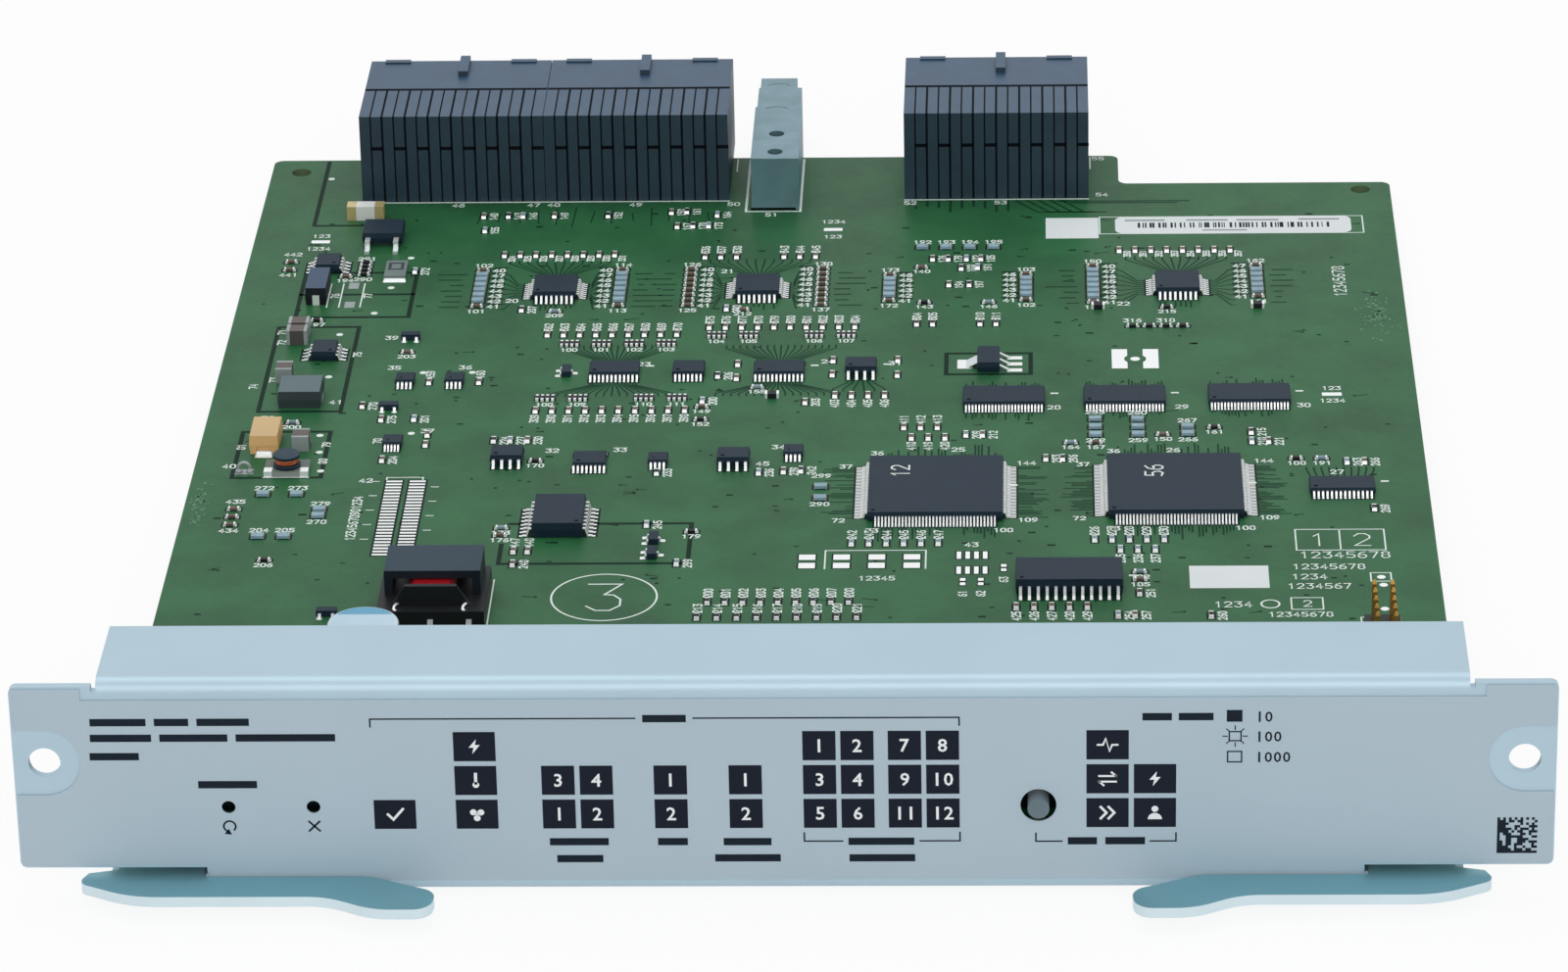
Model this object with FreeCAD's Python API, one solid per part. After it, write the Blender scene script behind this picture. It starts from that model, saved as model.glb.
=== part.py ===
import FreeCAD, Part
import os

# Millimetres. x runs to the right seen from the front, y back into the chassis, z up.
# The origin lies midway between the two panel screw holes, on the rear face of the panel's ears.
# Places on the card are given as x and the distance behind the printed face.

# Folded face plate
sheet = 1.2
fold_radius = 2.0
panel_width = 205.5
ear_top = 11.25
ear_bottom = -15.9
ear_corner = 1.0
ear_width = 11.65
channel_top = 12.0
channel_bottom = -19.8
top_flange_depth = 17.0
bottom_flange_depth = 18.4
relief_width = 0.65
relief_depth = 0.7
screw_inset = 4.2
screw_hole = 4.3

# Printed film on the face
film = 0.2
film_inset = 0.3
film_top = 9.3
film_ear_gap = 2.1
film_screw_clearance = 4.85

# Lamps in rows above the board, seen through one slot for each column
row_first = 2.54
row_pitch = 5.08
lamp_height = 3.2
number_lamp = 3.2
word_lamp = 4.4
slot_margin = 0.15

# Ejector levers
lever_thickness = 1.5
lever_play = 0.1
lever_slot_inset = 13.5
lever_slot_play = 0.6
lever_face_gap = 0.5
lever_reach = 6.2
lever_pad_reach = 9.8
lever_length = 48.5
lever_pad_length = 7.7
lever_pad_slant = 0.5
lever_pad_fall = 4.3
lever_heel_in = 9.2
lever_dip_in = 14.7
lever_tip_inset = 7.85
lever_nose = 7.7
lever_nose_fall = 4.0
lever_hook = 1.2
lever_hook_fall = 6.8
lever_throat_fall = 7.8
lever_eye = 5.8
pivot_back = 8.0
pivot_radius = 2.5
pivot_fit = 0.05
pivot_head = 4.0
pivot_head_height = 0.9

# Circuit board
board_top = -10.4
board_thickness = 2.0
board_overhang = 0.9
board_front = 3.4
board_rear = 237.5
board_step_margin = 4.92
board_step_depth = 12.05
board_corner = 1.5
tooling_hole = 3.2
tooling_inset = 4.85
tooling_inset_rear = 5.2
tooling_inset_step = 3.1

# Posts between the bottom flange and the board
standoff_back = 13.5
standoff_flats = 5.0
standoff_inset = 9.6
standoff_left = -22.0
standoff_right = 27.5

# Lamp holders and lenses
lens_gap = 0.6
lens_depth = 3.0
holder_depth = 5.0
holder_wall = 0.8
holder_cap = 0.6

# Push switches
control_height = 3.7
switch_width = 7.0
switch_depth = 4.2
switch_head_room = 2.9
switch_front = 6.2
plunger_width = 2.8
plunger_height = 2.0
plunger_fit = 0.08
plunger_bearing = 2.2
plunger_stop = 0.3
plunger_gap = 0.8
button_radius = 1.45
button_length = 4.8
button_travel = 0.8
button_proud = 1.1
button_hole = 4.8
pin_hole = 1.85
hole_margin = 0.8

# Backplane connectors
connector_first = -75.9
wafer_count = 16
wafer_pitch = 1.88
wafer_gap = 0.1
wafer_inset = 18.1
wafer_depth = 12.2
wafer_height = 15.0
shroud_seam = 0.2
shroud_depth = 12.4
shroud_wall = 1.7
cavity_width = 1.0
cavity_depth = 6.0
key_width = 1.6
key_height = 0.9
key_length = 7.0
key_offset = 0.7
pad_width = 4.2
pad_height = 0.25
pad_length = 1.2
pad_shares = (0.15, 0.845)

# Guide block beside the connectors
guide_gap = 3.765
guide_room = 17.025
guide_seat = 22.4
guide_width = 7.75
guide_height = 9.0
guide_length = 35.4
guide_neck = 12.8
guide_step_in = 0.3
guide_tip = 4.3
guide_tip_width = 6.0
guide_tip_shift = -0.3
guide_bore = 2.6
guide_bore_floor = 15.4
guide_bore_height = 4.4
guide_screw_hole = 1.25
guide_screw_first = 3.0
guide_screw_second = 10.8

# Chip bodies and leads
chip_standoff = 0.1
draft = 0.12
lead_foot = 0.45
fine_pitch = 1.3

# Parts on the card
pin_pitch = 2.54
pin_size = 0.64
header_rows = 5
header_height = 2.5
header_pin_height = 8.5
can_radius = 5.0
can_height = 9.0
can_base_height = 1.2
can_base_margin = 0.15
can_base_chamfer = 1.8

face = -(sheet + film)
channel_width = panel_width - 2 * ear_width
screw_spacing = panel_width - 2 * screw_inset
film_ear_start = channel_width / 2 + film_ear_gap
board_width = channel_width + 2 * board_overhang
lever_slot_inner = channel_width / 2 - lever_slot_inset
lever_tip = panel_width / 2 - lever_tip_inset
lever_pad_tip = lever_tip - lever_length
board_bottom = board_top - board_thickness
board_step_rear = board_rear - board_step_depth
wafer_front = board_rear - wafer_inset
guide_front = board_rear - guide_seat
flange_top = channel_bottom + sheet
lever_bottom = flange_top + lever_play
lever_top = lever_bottom + lever_thickness
pivot_x = lever_slot_inner + lever_slot_play + lever_eye
standoff_outer = lever_slot_inner - standoff_inset
standoff_places = (-standoff_outer, standoff_left, standoff_right, standoff_outer)
guide_end = guide_front + guide_length

number_columns = (
    (-29.9, (1, 2)),
    (-24.8, (1, 2)),
    (-14.9, (1, 2)),
    (-4.9, (1, 2)),
    (5.0, (1, 2, 3)),
    (10.05, (1, 2, 3)),
    (16.35, (1, 2, 3)),
    (21.4, (1, 2, 3)),
)
word_columns = (
    (-51.9, (1,)),
    (-40.9, (1, 2, 3)),
    (43.3, (1, 2, 3)),
    (49.6, (1, 2)),
)
reset_x = -74.2
clear_x = -62.8
mode_x = 34.1
connector_width = wafer_count * wafer_pitch
guide_x = connector_first + 2 * connector_width + guide_gap + guide_width / 2
connector_last = guide_x + guide_width / 2 + guide_room
connector_starts = (connector_first, connector_first + connector_width, connector_last)
board_step = connector_last + connector_width + board_step_margin


def point(x, y, z):
    return FreeCAD.Vector(x, y, z)


def box(x0, x1, y0, y1, z0, z1):
    return Part.makeBox(x1 - x0, y1 - y0, z1 - z0, point(x0, y0, z0))


def block(dx, dy, dz, z=0.0):
    return box(-dx / 2, dx / 2, -dy / 2, dy / 2, z, z + dz)


def rod_up(radius, z0, z1, x, y):
    return Part.makeCylinder(radius, z1 - z0, point(x, y, z0), point(0, 0, 1))


def rod_back(radius, y0, y1, x, z):
    return Part.makeCylinder(radius, y1 - y0, point(x, y0, z), point(0, 1, 0))


def prism(corners, along):
    loop = Part.makePolygon(corners + corners[:1])
    return Part.Face(loop).extrude(along)


def rounded(shape, spots, radius):
    """Fillet the edges that run through the given points."""
    edges = [e for e in shape.Edges for s in spots if e.distToShape(Part.Vertex(s))[0] < 1e-4]
    return shape.makeFillet(radius, edges)


def moved(shape, x, y, z=0.0, turn=0.0):
    copy = shape.copy()
    copy.rotate(point(0, 0, 0), point(0, 0, 1), turn)
    copy.translate(point(x, y, z))
    return copy


def on_board(shape, x, back, turn=0.0):
    """Seat a part, modelled over its own origin, on the board at x and a distance behind the face."""
    return moved(shape, x, face + back, board_top, turn)


def save(name, shapes):
    shape = shapes[0] if len(shapes) == 1 else Part.Compound(shapes)
    shape.exportStep("parts/%s.step" % name)


def lamp_columns():
    """Every lamp column as x, its rows and the width of its lamps."""
    columns = [(x, rows, number_lamp) for x, rows in number_columns]
    return columns + [(x, rows, word_lamp) for x, rows in word_columns]


def row_height(row):
    return board_top + row_first + (row - 1) * row_pitch


# Front panel

def face_holes(y0, y1, margin=0.0):
    """Round openings for the three controls, wider in the sheet than in the film over it."""
    z = board_top + control_height
    holes = [rod_back(pin_hole / 2 + margin, y0, y1, x, z) for x in (reset_x, clear_x)]
    return holes + [rod_back(button_hole / 2 + margin, y0, y1, mode_x, z)]


def folded_channel():
    half = channel_width / 2
    top_end = face + top_flange_depth
    bottom_end = face + bottom_flange_depth
    section = [(top_end, channel_top), (-sheet, channel_top), (-sheet, channel_bottom),
               (bottom_end, channel_bottom), (bottom_end, flange_top), (0, flange_top),
               (0, channel_top - sheet), (top_end, channel_top - sheet)]
    channel = prism([point(-half, y, z) for y, z in section], point(channel_width, 0, 0))
    outside = [point(0, -sheet, z) for z in (channel_top, channel_bottom)]
    inside = [point(0, 0, z) for z in (channel_top - sheet, flange_top)]
    channel = rounded(channel, outside, fold_radius)
    return rounded(channel, inside, fold_radius - sheet)


def panel_ear():
    """The right ear, with its screw hole and a relief slot beside the top fold."""
    start = channel_width / 2
    end = panel_width / 2
    ear = box(start, end, -sheet, 0, ear_bottom, ear_top)
    corners = [point(end, -sheet / 2, z) for z in (ear_top, ear_bottom)]
    ear = rounded(ear, corners, ear_corner)
    relief = box(start, start + relief_width, -sheet, 0, ear_top - relief_depth, ear_top)
    hole = rod_back(screw_hole / 2, -sheet, 0, screw_spacing / 2, 0)
    return ear.cut([relief, hole])


def mirrored(shape):
    return shape.mirror(point(0, 0, 0), point(1, 0, 0))


def face_plate():
    plate = folded_channel().fuse([panel_ear(), mirrored(panel_ear())])
    slot = box(lever_slot_inner, panel_width / 2, -2 * sheet, fold_radius, channel_bottom - 1, ear_bottom)
    cuts = [slot, mirrored(slot)]
    for x, rows, width in lamp_columns():
        half = width / 2 + slot_margin
        low = row_height(min(rows)) - lamp_height / 2 - slot_margin
        high = row_height(max(rows)) + lamp_height / 2 + slot_margin
        cuts.append(box(x - half, x + half, -2 * sheet, sheet, low, high))
    return plate.cut(cuts + face_holes(-2 * sheet, sheet, hole_margin)).removeSplitter()


def face_overlay():
    """Film with its top edge under the fold, rising over the ears, open round the panel screws."""
    edge = panel_width / 2 - film_inset
    low = ear_bottom + film_inset
    bottom = channel_bottom + fold_radius
    high = ear_top - film_inset
    half = [(film_ear_start, film_top), (film_ear_start, high), (edge, high), (edge, low),
            (lever_slot_inner - film_inset, low), (lever_slot_inner - film_inset, bottom)]
    loop = half + [(-x, z) for x, z in reversed(half)]
    skin = prism([point(x, face, z) for x, z in loop], point(0, film, 0))
    x = screw_spacing / 2
    notch = rod_back(film_screw_clearance, face - 1, 1, x, 0)
    notch = notch.fuse(box(x, edge + 1, face - 1, 1, -film_screw_clearance, film_screw_clearance))
    return skin.cut([notch, mirrored(notch)] + face_holes(face - 1, 1))


def ejector_lever():
    """The right lever: a thumb pad, a bar along the face, a hooked tip and an eye on the pivot."""
    y_pivot = face + pivot_back
    back = face - lever_face_gap
    front = face - lever_reach
    pad = face - lever_pad_reach
    neck_in = pivot_x - lever_eye
    neck_out = pivot_x + lever_eye
    neck = point(neck_in, back, lever_bottom)
    heel = point(lever_pad_tip + lever_heel_in, back, lever_bottom)
    pad_in = point(lever_pad_tip, back - lever_pad_fall, lever_bottom)
    pad_front = point(lever_pad_tip + lever_pad_slant, pad, lever_bottom)
    pad_out = pad_front + point(lever_pad_length, 0, 0)
    dip = point(lever_pad_tip + lever_dip_in, front, lever_bottom)
    nose = point(lever_tip - lever_nose, front, lever_bottom)
    tip = point(lever_tip, front + lever_nose_fall, lever_bottom)
    hook = point(lever_tip - lever_hook, front + lever_hook_fall, lever_bottom)
    throat = point(neck_out, front + lever_throat_fall, lever_bottom)
    loop = [point(neck_in, y_pivot, lever_bottom), neck, heel, pad_in, pad_front, pad_out, dip,
            nose, tip, hook, throat, point(neck_out, y_pivot, lever_bottom)]
    plate = prism(loop, point(0, 0, lever_thickness))
    eye = rod_up(lever_eye, lever_bottom, lever_top, pivot_x, y_pivot)
    plate = plate.fuse(eye).removeSplitter()
    rounds = ((heel, 8.0), (pad_in, 2.6), (pad_front, 2.6), (pad_out, 10.0), (dip, 10.0),
              (nose, 14.0), (tip, 1.6))
    middle = point(0, 0, lever_thickness / 2)
    for corner, radius in rounds:
        plate = rounded(plate, [corner + middle], radius)
    bore = rod_up(pivot_radius + pivot_fit, lever_bottom - 1, lever_top + 1, pivot_x, y_pivot)
    return plate.cut(bore)


def lever_pivot():
    """Shoulder rivet standing on the bottom flange, its head over the lever."""
    y = face + pivot_back
    head = lever_top + lever_play
    shoulder = rod_up(pivot_radius, flange_top, head, pivot_x, y)
    cap = rod_up(pivot_head, head, head + pivot_head_height, pivot_x, y)
    return shoulder.fuse(cap).removeSplitter()


# Board and what carries it

def tooling_holes():
    left = (-(board_width / 2 - tooling_inset), board_rear - tooling_inset_rear)
    right = (board_width / 2 - tooling_inset, board_step_rear - tooling_inset_step)
    return left, right


def circuit_board():
    half = board_width / 2
    front = face + board_front
    rear = face + board_rear
    step = face + board_step_rear
    corners = [(-half, front), (half, front), (half, step), (board_step, step), (board_step, rear),
               (-half, rear)]
    board = prism([point(x, y, board_bottom) for x, y in corners], point(0, 0, board_thickness))
    middle = board_bottom + board_thickness / 2
    board = rounded(board, [point(x, y, middle) for x, y in corners if y > front], board_corner)
    below = board_bottom - 1
    above = board_top + 1
    holes = [rod_up(tooling_hole / 2, below, above, x, face + back) for x, back in tooling_holes()]
    return board.cut(holes)


def facets(radius, z0, z1, sides):
    """Upright prism with a regular outline."""
    turns = [FreeCAD.Rotation(point(0, 0, 1), 360.0 * k / sides) for k in range(sides)]
    return prism([turn.multVec(point(radius, 0, 0)) + point(0, 0, z0) for turn in turns], point(0, 0, z1 - z0))


def standoffs():
    post = facets(standoff_flats / 3 ** 0.5, flange_top, board_bottom, 6)
    return [moved(post, x, face + standoff_back) for x in standoff_places]


# Lamps and push switches behind the face

def lamps():
    """A holder for each column, with a lens in front of it in every row."""
    holders = []
    lenses = []
    front = lens_gap + lens_depth
    for x, rows, width in lamp_columns():
        outer = width / 2 + holder_wall
        top = row_height(max(rows)) + lamp_height / 2 + holder_cap
        holders.append(box(x - outer, x + outer, front, front + holder_depth, board_top, top))
        for row in rows:
            low = row_height(row) - lamp_height / 2
            lenses.append(box(x - width / 2, x + width / 2, lens_gap, front, low, low + lamp_height))
    return holders, lenses


def bar_back(width, height, y0, y1, x, z):
    """Rectangular bar along y, centred on x and z."""
    return box(x - width / 2, x + width / 2, y0, y1, z - height / 2, z + height / 2)


def switch_body(x):
    """Switch housing with the guide of its plunger."""
    front = face + switch_front
    z = board_top + control_height
    body = box(x - switch_width / 2, x + switch_width / 2, front, front + switch_depth,
               board_top, z + switch_head_room)
    depth = plunger_bearing + button_travel + plunger_stop
    play = 2 * plunger_fit
    return body.cut(bar_back(plunger_width + play, plunger_height + play, front, front + depth, x, z))


def pin_plunger(x):
    """Plain plunger that stays behind the face and is pushed with a pin."""
    end = face + switch_front + plunger_bearing
    return bar_back(plunger_width, plunger_height, plunger_gap, end, x, board_top + control_height)


def mode_button():
    """Plunger with a round cap that stands out through the hole of the face."""
    z = board_top + control_height
    front = face - button_proud
    shoulder = front + button_length
    stem = bar_back(plunger_width, plunger_height, shoulder, face + switch_front + plunger_bearing, mode_x, z)
    cap = rod_back(button_radius, front, shoulder, mode_x, z)
    return stem.fuse(cap).removeSplitter()


# Backplane end

def connector_wafers(start):
    pieces = []
    front = face + wafer_front
    for k in range(wafer_count):
        x0 = start + k * wafer_pitch + wafer_gap / 2
        x1 = x0 + wafer_pitch - wafer_gap
        pieces.append(box(x0, x1, front, front + wafer_depth, board_top, board_top + wafer_height))
    return pieces


def connector_shroud(start):
    """Moulded shroud behind the wafers, with one cavity a wafer, a key rib and low pads on top."""
    front = face + wafer_front + wafer_depth + shroud_seam
    rear = front + shroud_depth
    top = board_top + wafer_height
    inset = wafer_gap / 2
    shroud = box(start + inset, start + connector_width - inset, front, rear, board_top, top)
    middle = start + connector_width / 2 + key_offset
    key = box(middle - key_width / 2, middle + key_width / 2, rear - key_length, rear, top, top + key_height)
    pads = []
    for share in pad_shares:
        x = start + share * connector_width
        pads.append(box(x - pad_width / 2, x + pad_width / 2, rear - pad_length, rear, top, top + pad_height))
    cavities = []
    for k in range(wafer_count):
        x = start + (k + 0.5) * wafer_pitch
        cavities.append(box(x - cavity_width / 2, x + cavity_width / 2, rear - cavity_depth, rear + 1,
                            board_top + shroud_wall, top - shroud_wall))
    return shroud.fuse([key] + pads).cut(cavities).removeSplitter()


def guide_block():
    """Die-cast block, stepped towards its end, with the bore for the chassis guide pin."""
    half = guide_width / 2
    narrow = half - guide_step_in
    tip = guide_tip_width / 2
    shift = guide_tip_shift
    step = guide_end - guide_neck
    shoulder = guide_end - guide_tip
    loop = [(half, guide_front), (half, step), (narrow, step), (narrow, shoulder),
            (tip + shift, shoulder), (tip + shift, guide_end), (shift - tip, guide_end),
            (shift - tip, shoulder), (-narrow, shoulder), (-narrow, step),
            (-half, step), (-half, guide_front)]
    body = prism([point(guide_x + x, face + back, board_top) for x, back in loop], point(0, 0, guide_height))
    end = face + guide_end
    floor = face + guide_front + guide_bore_floor
    cuts = [rod_back(guide_bore, floor, end, guide_x + shift, board_top + guide_bore_height)]
    for back in (guide_screw_first, guide_screw_second):
        y = face + guide_front + back
        cuts.append(rod_up(guide_screw_hole, board_top, board_top + guide_height, guide_x, y))
    return body.cut(cuts)


# Moulded chips and their leads

def moulded_body(dx, dy, height, standoff=0.0):
    """Moulded block, widest at its parting line, with drafted sides."""
    def loop(inset, z):
        x = dx / 2 - inset
        y = dy / 2 - inset
        corners = [point(-x, -y, z), point(x, -y, z), point(x, y, z), point(-x, y, z)]
        return Part.makePolygon(corners + corners[:1])
    parting = standoff + (height - standoff) / 2
    loops = [loop(draft, standoff), loop(0, parting), loop(draft, height)]
    return Part.makeLoft(loops, True, True)


def blade_lead(reach, rise, width):
    """Lead that falls from the parting line at x = 0 to a foot on the board."""
    corners = [point(0, -width / 2, rise), point(reach, -width / 2, 0), point(reach - lead_foot, -width / 2, 0)]
    return prism(corners, point(0, width, 0))


def fine_lead(reach, rise, width):
    """Fine-pitch lead, as wide as the blade at the parting line and drawn out to a thin foot."""
    left = point(0, -width / 2, rise)
    right = point(0, width / 2, rise)
    heel = point(reach - lead_foot, 0, 0)
    toe = point(reach, 0, 0)
    sides = ((left, heel, right), (left, right, toe), (left, toe, heel), (right, heel, toe))
    shell = Part.makeShell([Part.Face(Part.makePolygon([a, b, c, a])) for a, b, c in sides])
    return Part.makeSolid(shell)


def lead_rows(body_x, body_y, reach, rise, width, pitch, count, sides):
    """Leads along the given sides; side 0 points to +x, and each side is a quarter turn on."""
    pieces = []
    make = fine_lead if pitch < fine_pitch else blade_lead
    lead = make(reach, rise, width)
    for side in sides:
        edge = body_x / 2 if side % 2 == 0 else body_y / 2
        for k in range(count):
            row = (k - (count - 1) / 2) * pitch
            piece = moved(lead, edge, row)
            pieces.append(moved(piece, 0, 0, 0, 90 * side))
    return pieces


def package(body_x, body_y, height, reach, width, pitch, count, sides):
    """A chip's body and its leads, over its own origin."""
    body = moulded_body(body_x, body_y, height, chip_standoff)
    rise = chip_standoff + (height - chip_standoff) / 2
    return body, lead_rows(body_x, body_y, reach, rise, width, pitch, count, sides)


def placed(kind, places):
    """Bodies and leads of one kind of package at several places on the board."""
    body, leads = kind
    bodies = [on_board(body, *place) for place in places]
    return bodies, [on_board(lead, *place) for place in places for lead in leads]


all_sides = (0, 1, 2, 3)
two_sides = (1, 3)
quad_144 = package(20.0, 20.0, 1.5, 1.0, 0.22, 0.5, 36, all_sides)
quad_32 = package(7.0, 7.0, 1.5, 1.0, 0.36, 0.8, 8, all_sides)
thin_48 = package(12.5, 6.1, 1.15, 1.0, 0.22, 0.5, 24, two_sides)
thin_28 = moulded_body(9.7, 4.4, 1.1, chip_standoff)
thin_24 = moulded_body(7.8, 4.4, 1.1, chip_standoff)
thin_16 = moulded_body(5.0, 4.4, 1.1, chip_standoff)
thin_8 = moulded_body(3.0, 3.0, 1.0, chip_standoff)
wide_24 = package(15.4, 7.5, 2.4, 1.4, 0.42, 1.27, 12, two_sides)
wide_16 = package(10.3, 7.5, 2.4, 1.4, 0.42, 1.27, 8, two_sides)
small_8 = package(4.9, 3.9, 1.6, 1.05, 0.42, 1.27, 4, two_sides)

logic_places = ((19.2, 106.3), (54.55, 106.75))
interface_places = ((-41.9, 182.0), (-9.85, 182.0), (56.5, 182.3))
bus_places = ((29.2, 139.35), (47.55, 139.35), (66.5, 139.8))
small_8_places = ((-78.9, 192.1, 90), (-76.3, 157.7, 90), (7.2, 150.6), (-45.2, 118.6), (-11.2, 117.5))
wide_24_places = ((38.7, 75.4),)
wide_16_places = ((-36.0, 96.3, 90),)
thin_28_places = ((79.2, 107.1),)
thin_24_places = ((-30.8, 150.4), (-5.4, 150.3))
thin_16_places = ((-32.7, 117.2), (-19.35, 150.5))
thin_8_places = ((-62.9, 147.4), (-55.3, 147.4), (-62.9, 124.4), (-22.5, 117.6), (-2.3, 120.2))


def thin_chips():
    kinds = ((thin_28, thin_28_places), (thin_24, thin_24_places), (thin_16, thin_16_places),
             (thin_8, thin_8_places))
    return [on_board(body, *place) for body, places in kinds for place in places]


# Power parts

transistor_place = (-71.0, 203.8)
regulator_place = (26.8, 152.9)
fuse_place = (-74.7, 212.8)
ceramic_places = ((-81.0, 162.8), (-81.0, 166.0), (-81.6, 148.5, 90), (-76.6, 123.4, 90))
tantalum_place = (-82.0, 124.5)
input_capacitor_place = (-79.5, 181.4)
moulded_inductor_place = (-78.3, 140.9)
sense_resistor_place = (-67.9, 190.0)


def bent_lead(reach, rise, foot, thick, width):
    """Flat lead bent down to the board, from x = 0 outwards."""
    knee = reach - foot
    corners = [(0, rise), (knee, rise), (knee, thick), (reach, thick), (reach, 0),
               (knee - thick, 0), (knee - thick, rise - thick), (0, rise - thick)]
    return prism([point(x, -width / 2, z) for x, z in corners], point(0, width, 0))


def power_transistor():
    """Moulded body on a soldered tab, with two bent leads to the front."""
    place = transistor_place
    depth = 6.1
    tab_thick = 0.5
    spacing = 2.29
    body = moved(moulded_body(6.5, depth, 1.8), 0, 0, tab_thick)
    tab = moved(block(5.3, 6.4, tab_thick), 0, 1.5)
    lead = moved(bent_lead(reach=3.2, rise=1.6, foot=1.4, thick=0.5, width=0.8), 0, 0, 0, -90)
    metal = [tab] + [moved(lead, x, -depth / 2) for x in (-spacing, spacing)]
    return [on_board(body, *place)], [on_board(piece, *place) for piece in metal]


def regulator():
    """Moulded body with three leads on one side and a wide one on the other."""
    place = regulator_place
    width = 3.5
    reach = 1.75
    rise = 0.9
    spacing = 2.3
    lead = blade_lead(reach, rise, 0.7)
    metal = [moved(lead, width / 2, y) for y in (-spacing, 0, spacing)]
    metal.append(moved(blade_lead(reach, rise, 3.0), -width / 2, 0, 0, 180))
    body = moulded_body(width, 6.5, 1.7, chip_standoff)
    return [on_board(body, *place)], [on_board(piece, *place) for piece in metal]


def fuse_parts():
    """Ceramic tube fuse, square in section, with a plated cap at each end."""
    place = fuse_place
    length = 6.0
    cap = 1.5
    side = 2.4
    body = block(length - 2 * cap, side, side)
    caps = [moved(block(cap, side, side), x, 0) for x in (-(length - cap) / 2, (length - cap) / 2)]
    return [on_board(body, *place)], [on_board(piece, *place) for piece in caps]


def ceramic_capacitors():
    chip = block(3.2, 2.5, 2.4)
    return [on_board(chip, *place) for place in ceramic_places]


def tantalum_capacitor():
    """Moulded case with a stepped front over its terminal."""
    depth = 7.3
    step = 0.55
    case = moulded_body(4.4, depth, 3.0)
    notch = moved(block(2.4, 2 * step, 1.3), 0, -depth / 2)
    return on_board(case.cut(notch), *tantalum_place)


def input_capacitor():
    return on_board(moulded_body(3.4, 8.6, 2.9), *input_capacitor_place)


def moulded_inductor():
    return on_board(moulded_body(6.6, 6.5, 2.7), *moulded_inductor_place)


def sense_resistor():
    return on_board(block(3.4, 6.3, 0.8), *sense_resistor_place)


drum_place = (-77.9, 114.9)
drum_sides = 12
drum_gap = 0.05
drum_base = 0.9
drum_radius = 2.05
drum_waist = 1.2
drum_flange = 0.5
drum_height = 2.9
drum_coil_inset = 0.2


def drum_inductor():
    """Ferrite drum, two discs on a waist, on a moulded base."""
    disc = facets(drum_radius, drum_base, drum_base + drum_flange, drum_sides)
    waist = facets(drum_waist, drum_base, drum_height, drum_sides)
    top = moved(disc, 0, 0, drum_height - drum_flange - drum_base)
    drum = block(6.6, 4.4, drum_base).fuse([disc, waist, top]).removeSplitter()
    return on_board(drum, *drum_place)


def drum_winding():
    low = drum_base + drum_flange + drum_gap
    high = drum_height - drum_flange - drum_gap
    coil = facets(drum_radius - drum_coil_inset, low, high, drum_sides)
    return on_board(coil.cut(facets(drum_waist + drum_gap, low, high, drum_sides)), *drum_place)


transformer_place = (-52.2, 69.4)
bobbin_base = 2.4
bobbin_width = 15.4
bobbin_depth = 15.0
cheek_front = -5.4
cheek_wall = 0.8
cheek_top = 5.4
cheek_half = 3.7
core_width = 13.8
core_depth = 8.5
core_top = 6.2
core_wall = 1.2
winding_gap = 0.15
winding_margin = 0.4
winding_bevel = 0.8
terminal_reach = 1.3
terminal_width = 0.8
terminal_spacing = 5.5


def transformer_core():
    """Ferrite core bridging the winding, its two legs on the bobbin's base."""
    half = core_width / 2
    inner = half - core_wall
    section = [(-half, bobbin_base), (-half, core_top), (half, core_top), (half, bobbin_base),
               (inner, bobbin_base), (inner, core_top - core_wall), (-inner, core_top - core_wall),
               (-inner, bobbin_base)]
    y = bobbin_depth / 2 - cheek_wall - winding_gap - core_depth
    bridge = prism([point(x, y, z) for x, z in section], point(0, core_depth, 0))
    return on_board(bridge, *transformer_place)


def transformer_bobbin():
    """Base plate with a cheek before and behind the winding, each narrower at the top."""
    base = block(bobbin_width, bobbin_depth, bobbin_base)
    foot = core_width / 2 - core_wall - winding_gap
    shape = [(-foot, bobbin_base), (-cheek_half, cheek_top), (cheek_half, cheek_top), (foot, bobbin_base)]
    front = prism([point(x, cheek_front, z) for x, z in shape], point(0, cheek_wall, 0))
    rear = moved(front, 0, bobbin_depth / 2 - cheek_wall - cheek_front)
    return on_board(base.fuse([front, rear]).removeSplitter(), *transformer_place)


def transformer_winding():
    """Wound coil between the cheeks and narrower than they are, under the core."""
    low = bobbin_base + winding_gap
    high = core_top - core_wall - winding_gap
    side = cheek_half - winding_margin
    front = cheek_front + cheek_wall + winding_gap
    rear = bobbin_depth / 2 - cheek_wall - winding_gap
    waist = side - winding_bevel
    section = [(-side, low + winding_bevel), (-waist, low), (waist, low), (side, low + winding_bevel),
               (side, high - winding_bevel), (waist, high), (-waist, high), (-side, high - winding_bevel)]
    coil = prism([point(x, front, z) for x, z in section], point(0, rear - front, 0))
    return on_board(coil, *transformer_place)


def transformer_pins():
    """Soldered terminals along the front and rear edges of the bobbin."""
    pin = blade_lead(terminal_reach, bobbin_base / 2, terminal_width)
    pieces = []
    for x in (-terminal_spacing, 0, terminal_spacing):
        pieces.append(on_board(moved(pin, x, -bobbin_depth / 2, 0, -90), *transformer_place))
        pieces.append(on_board(moved(pin, x, bobbin_depth / 2, 0, 90), *transformer_place))
    return pieces


can_place = (-59.7, 43.0)


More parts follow.
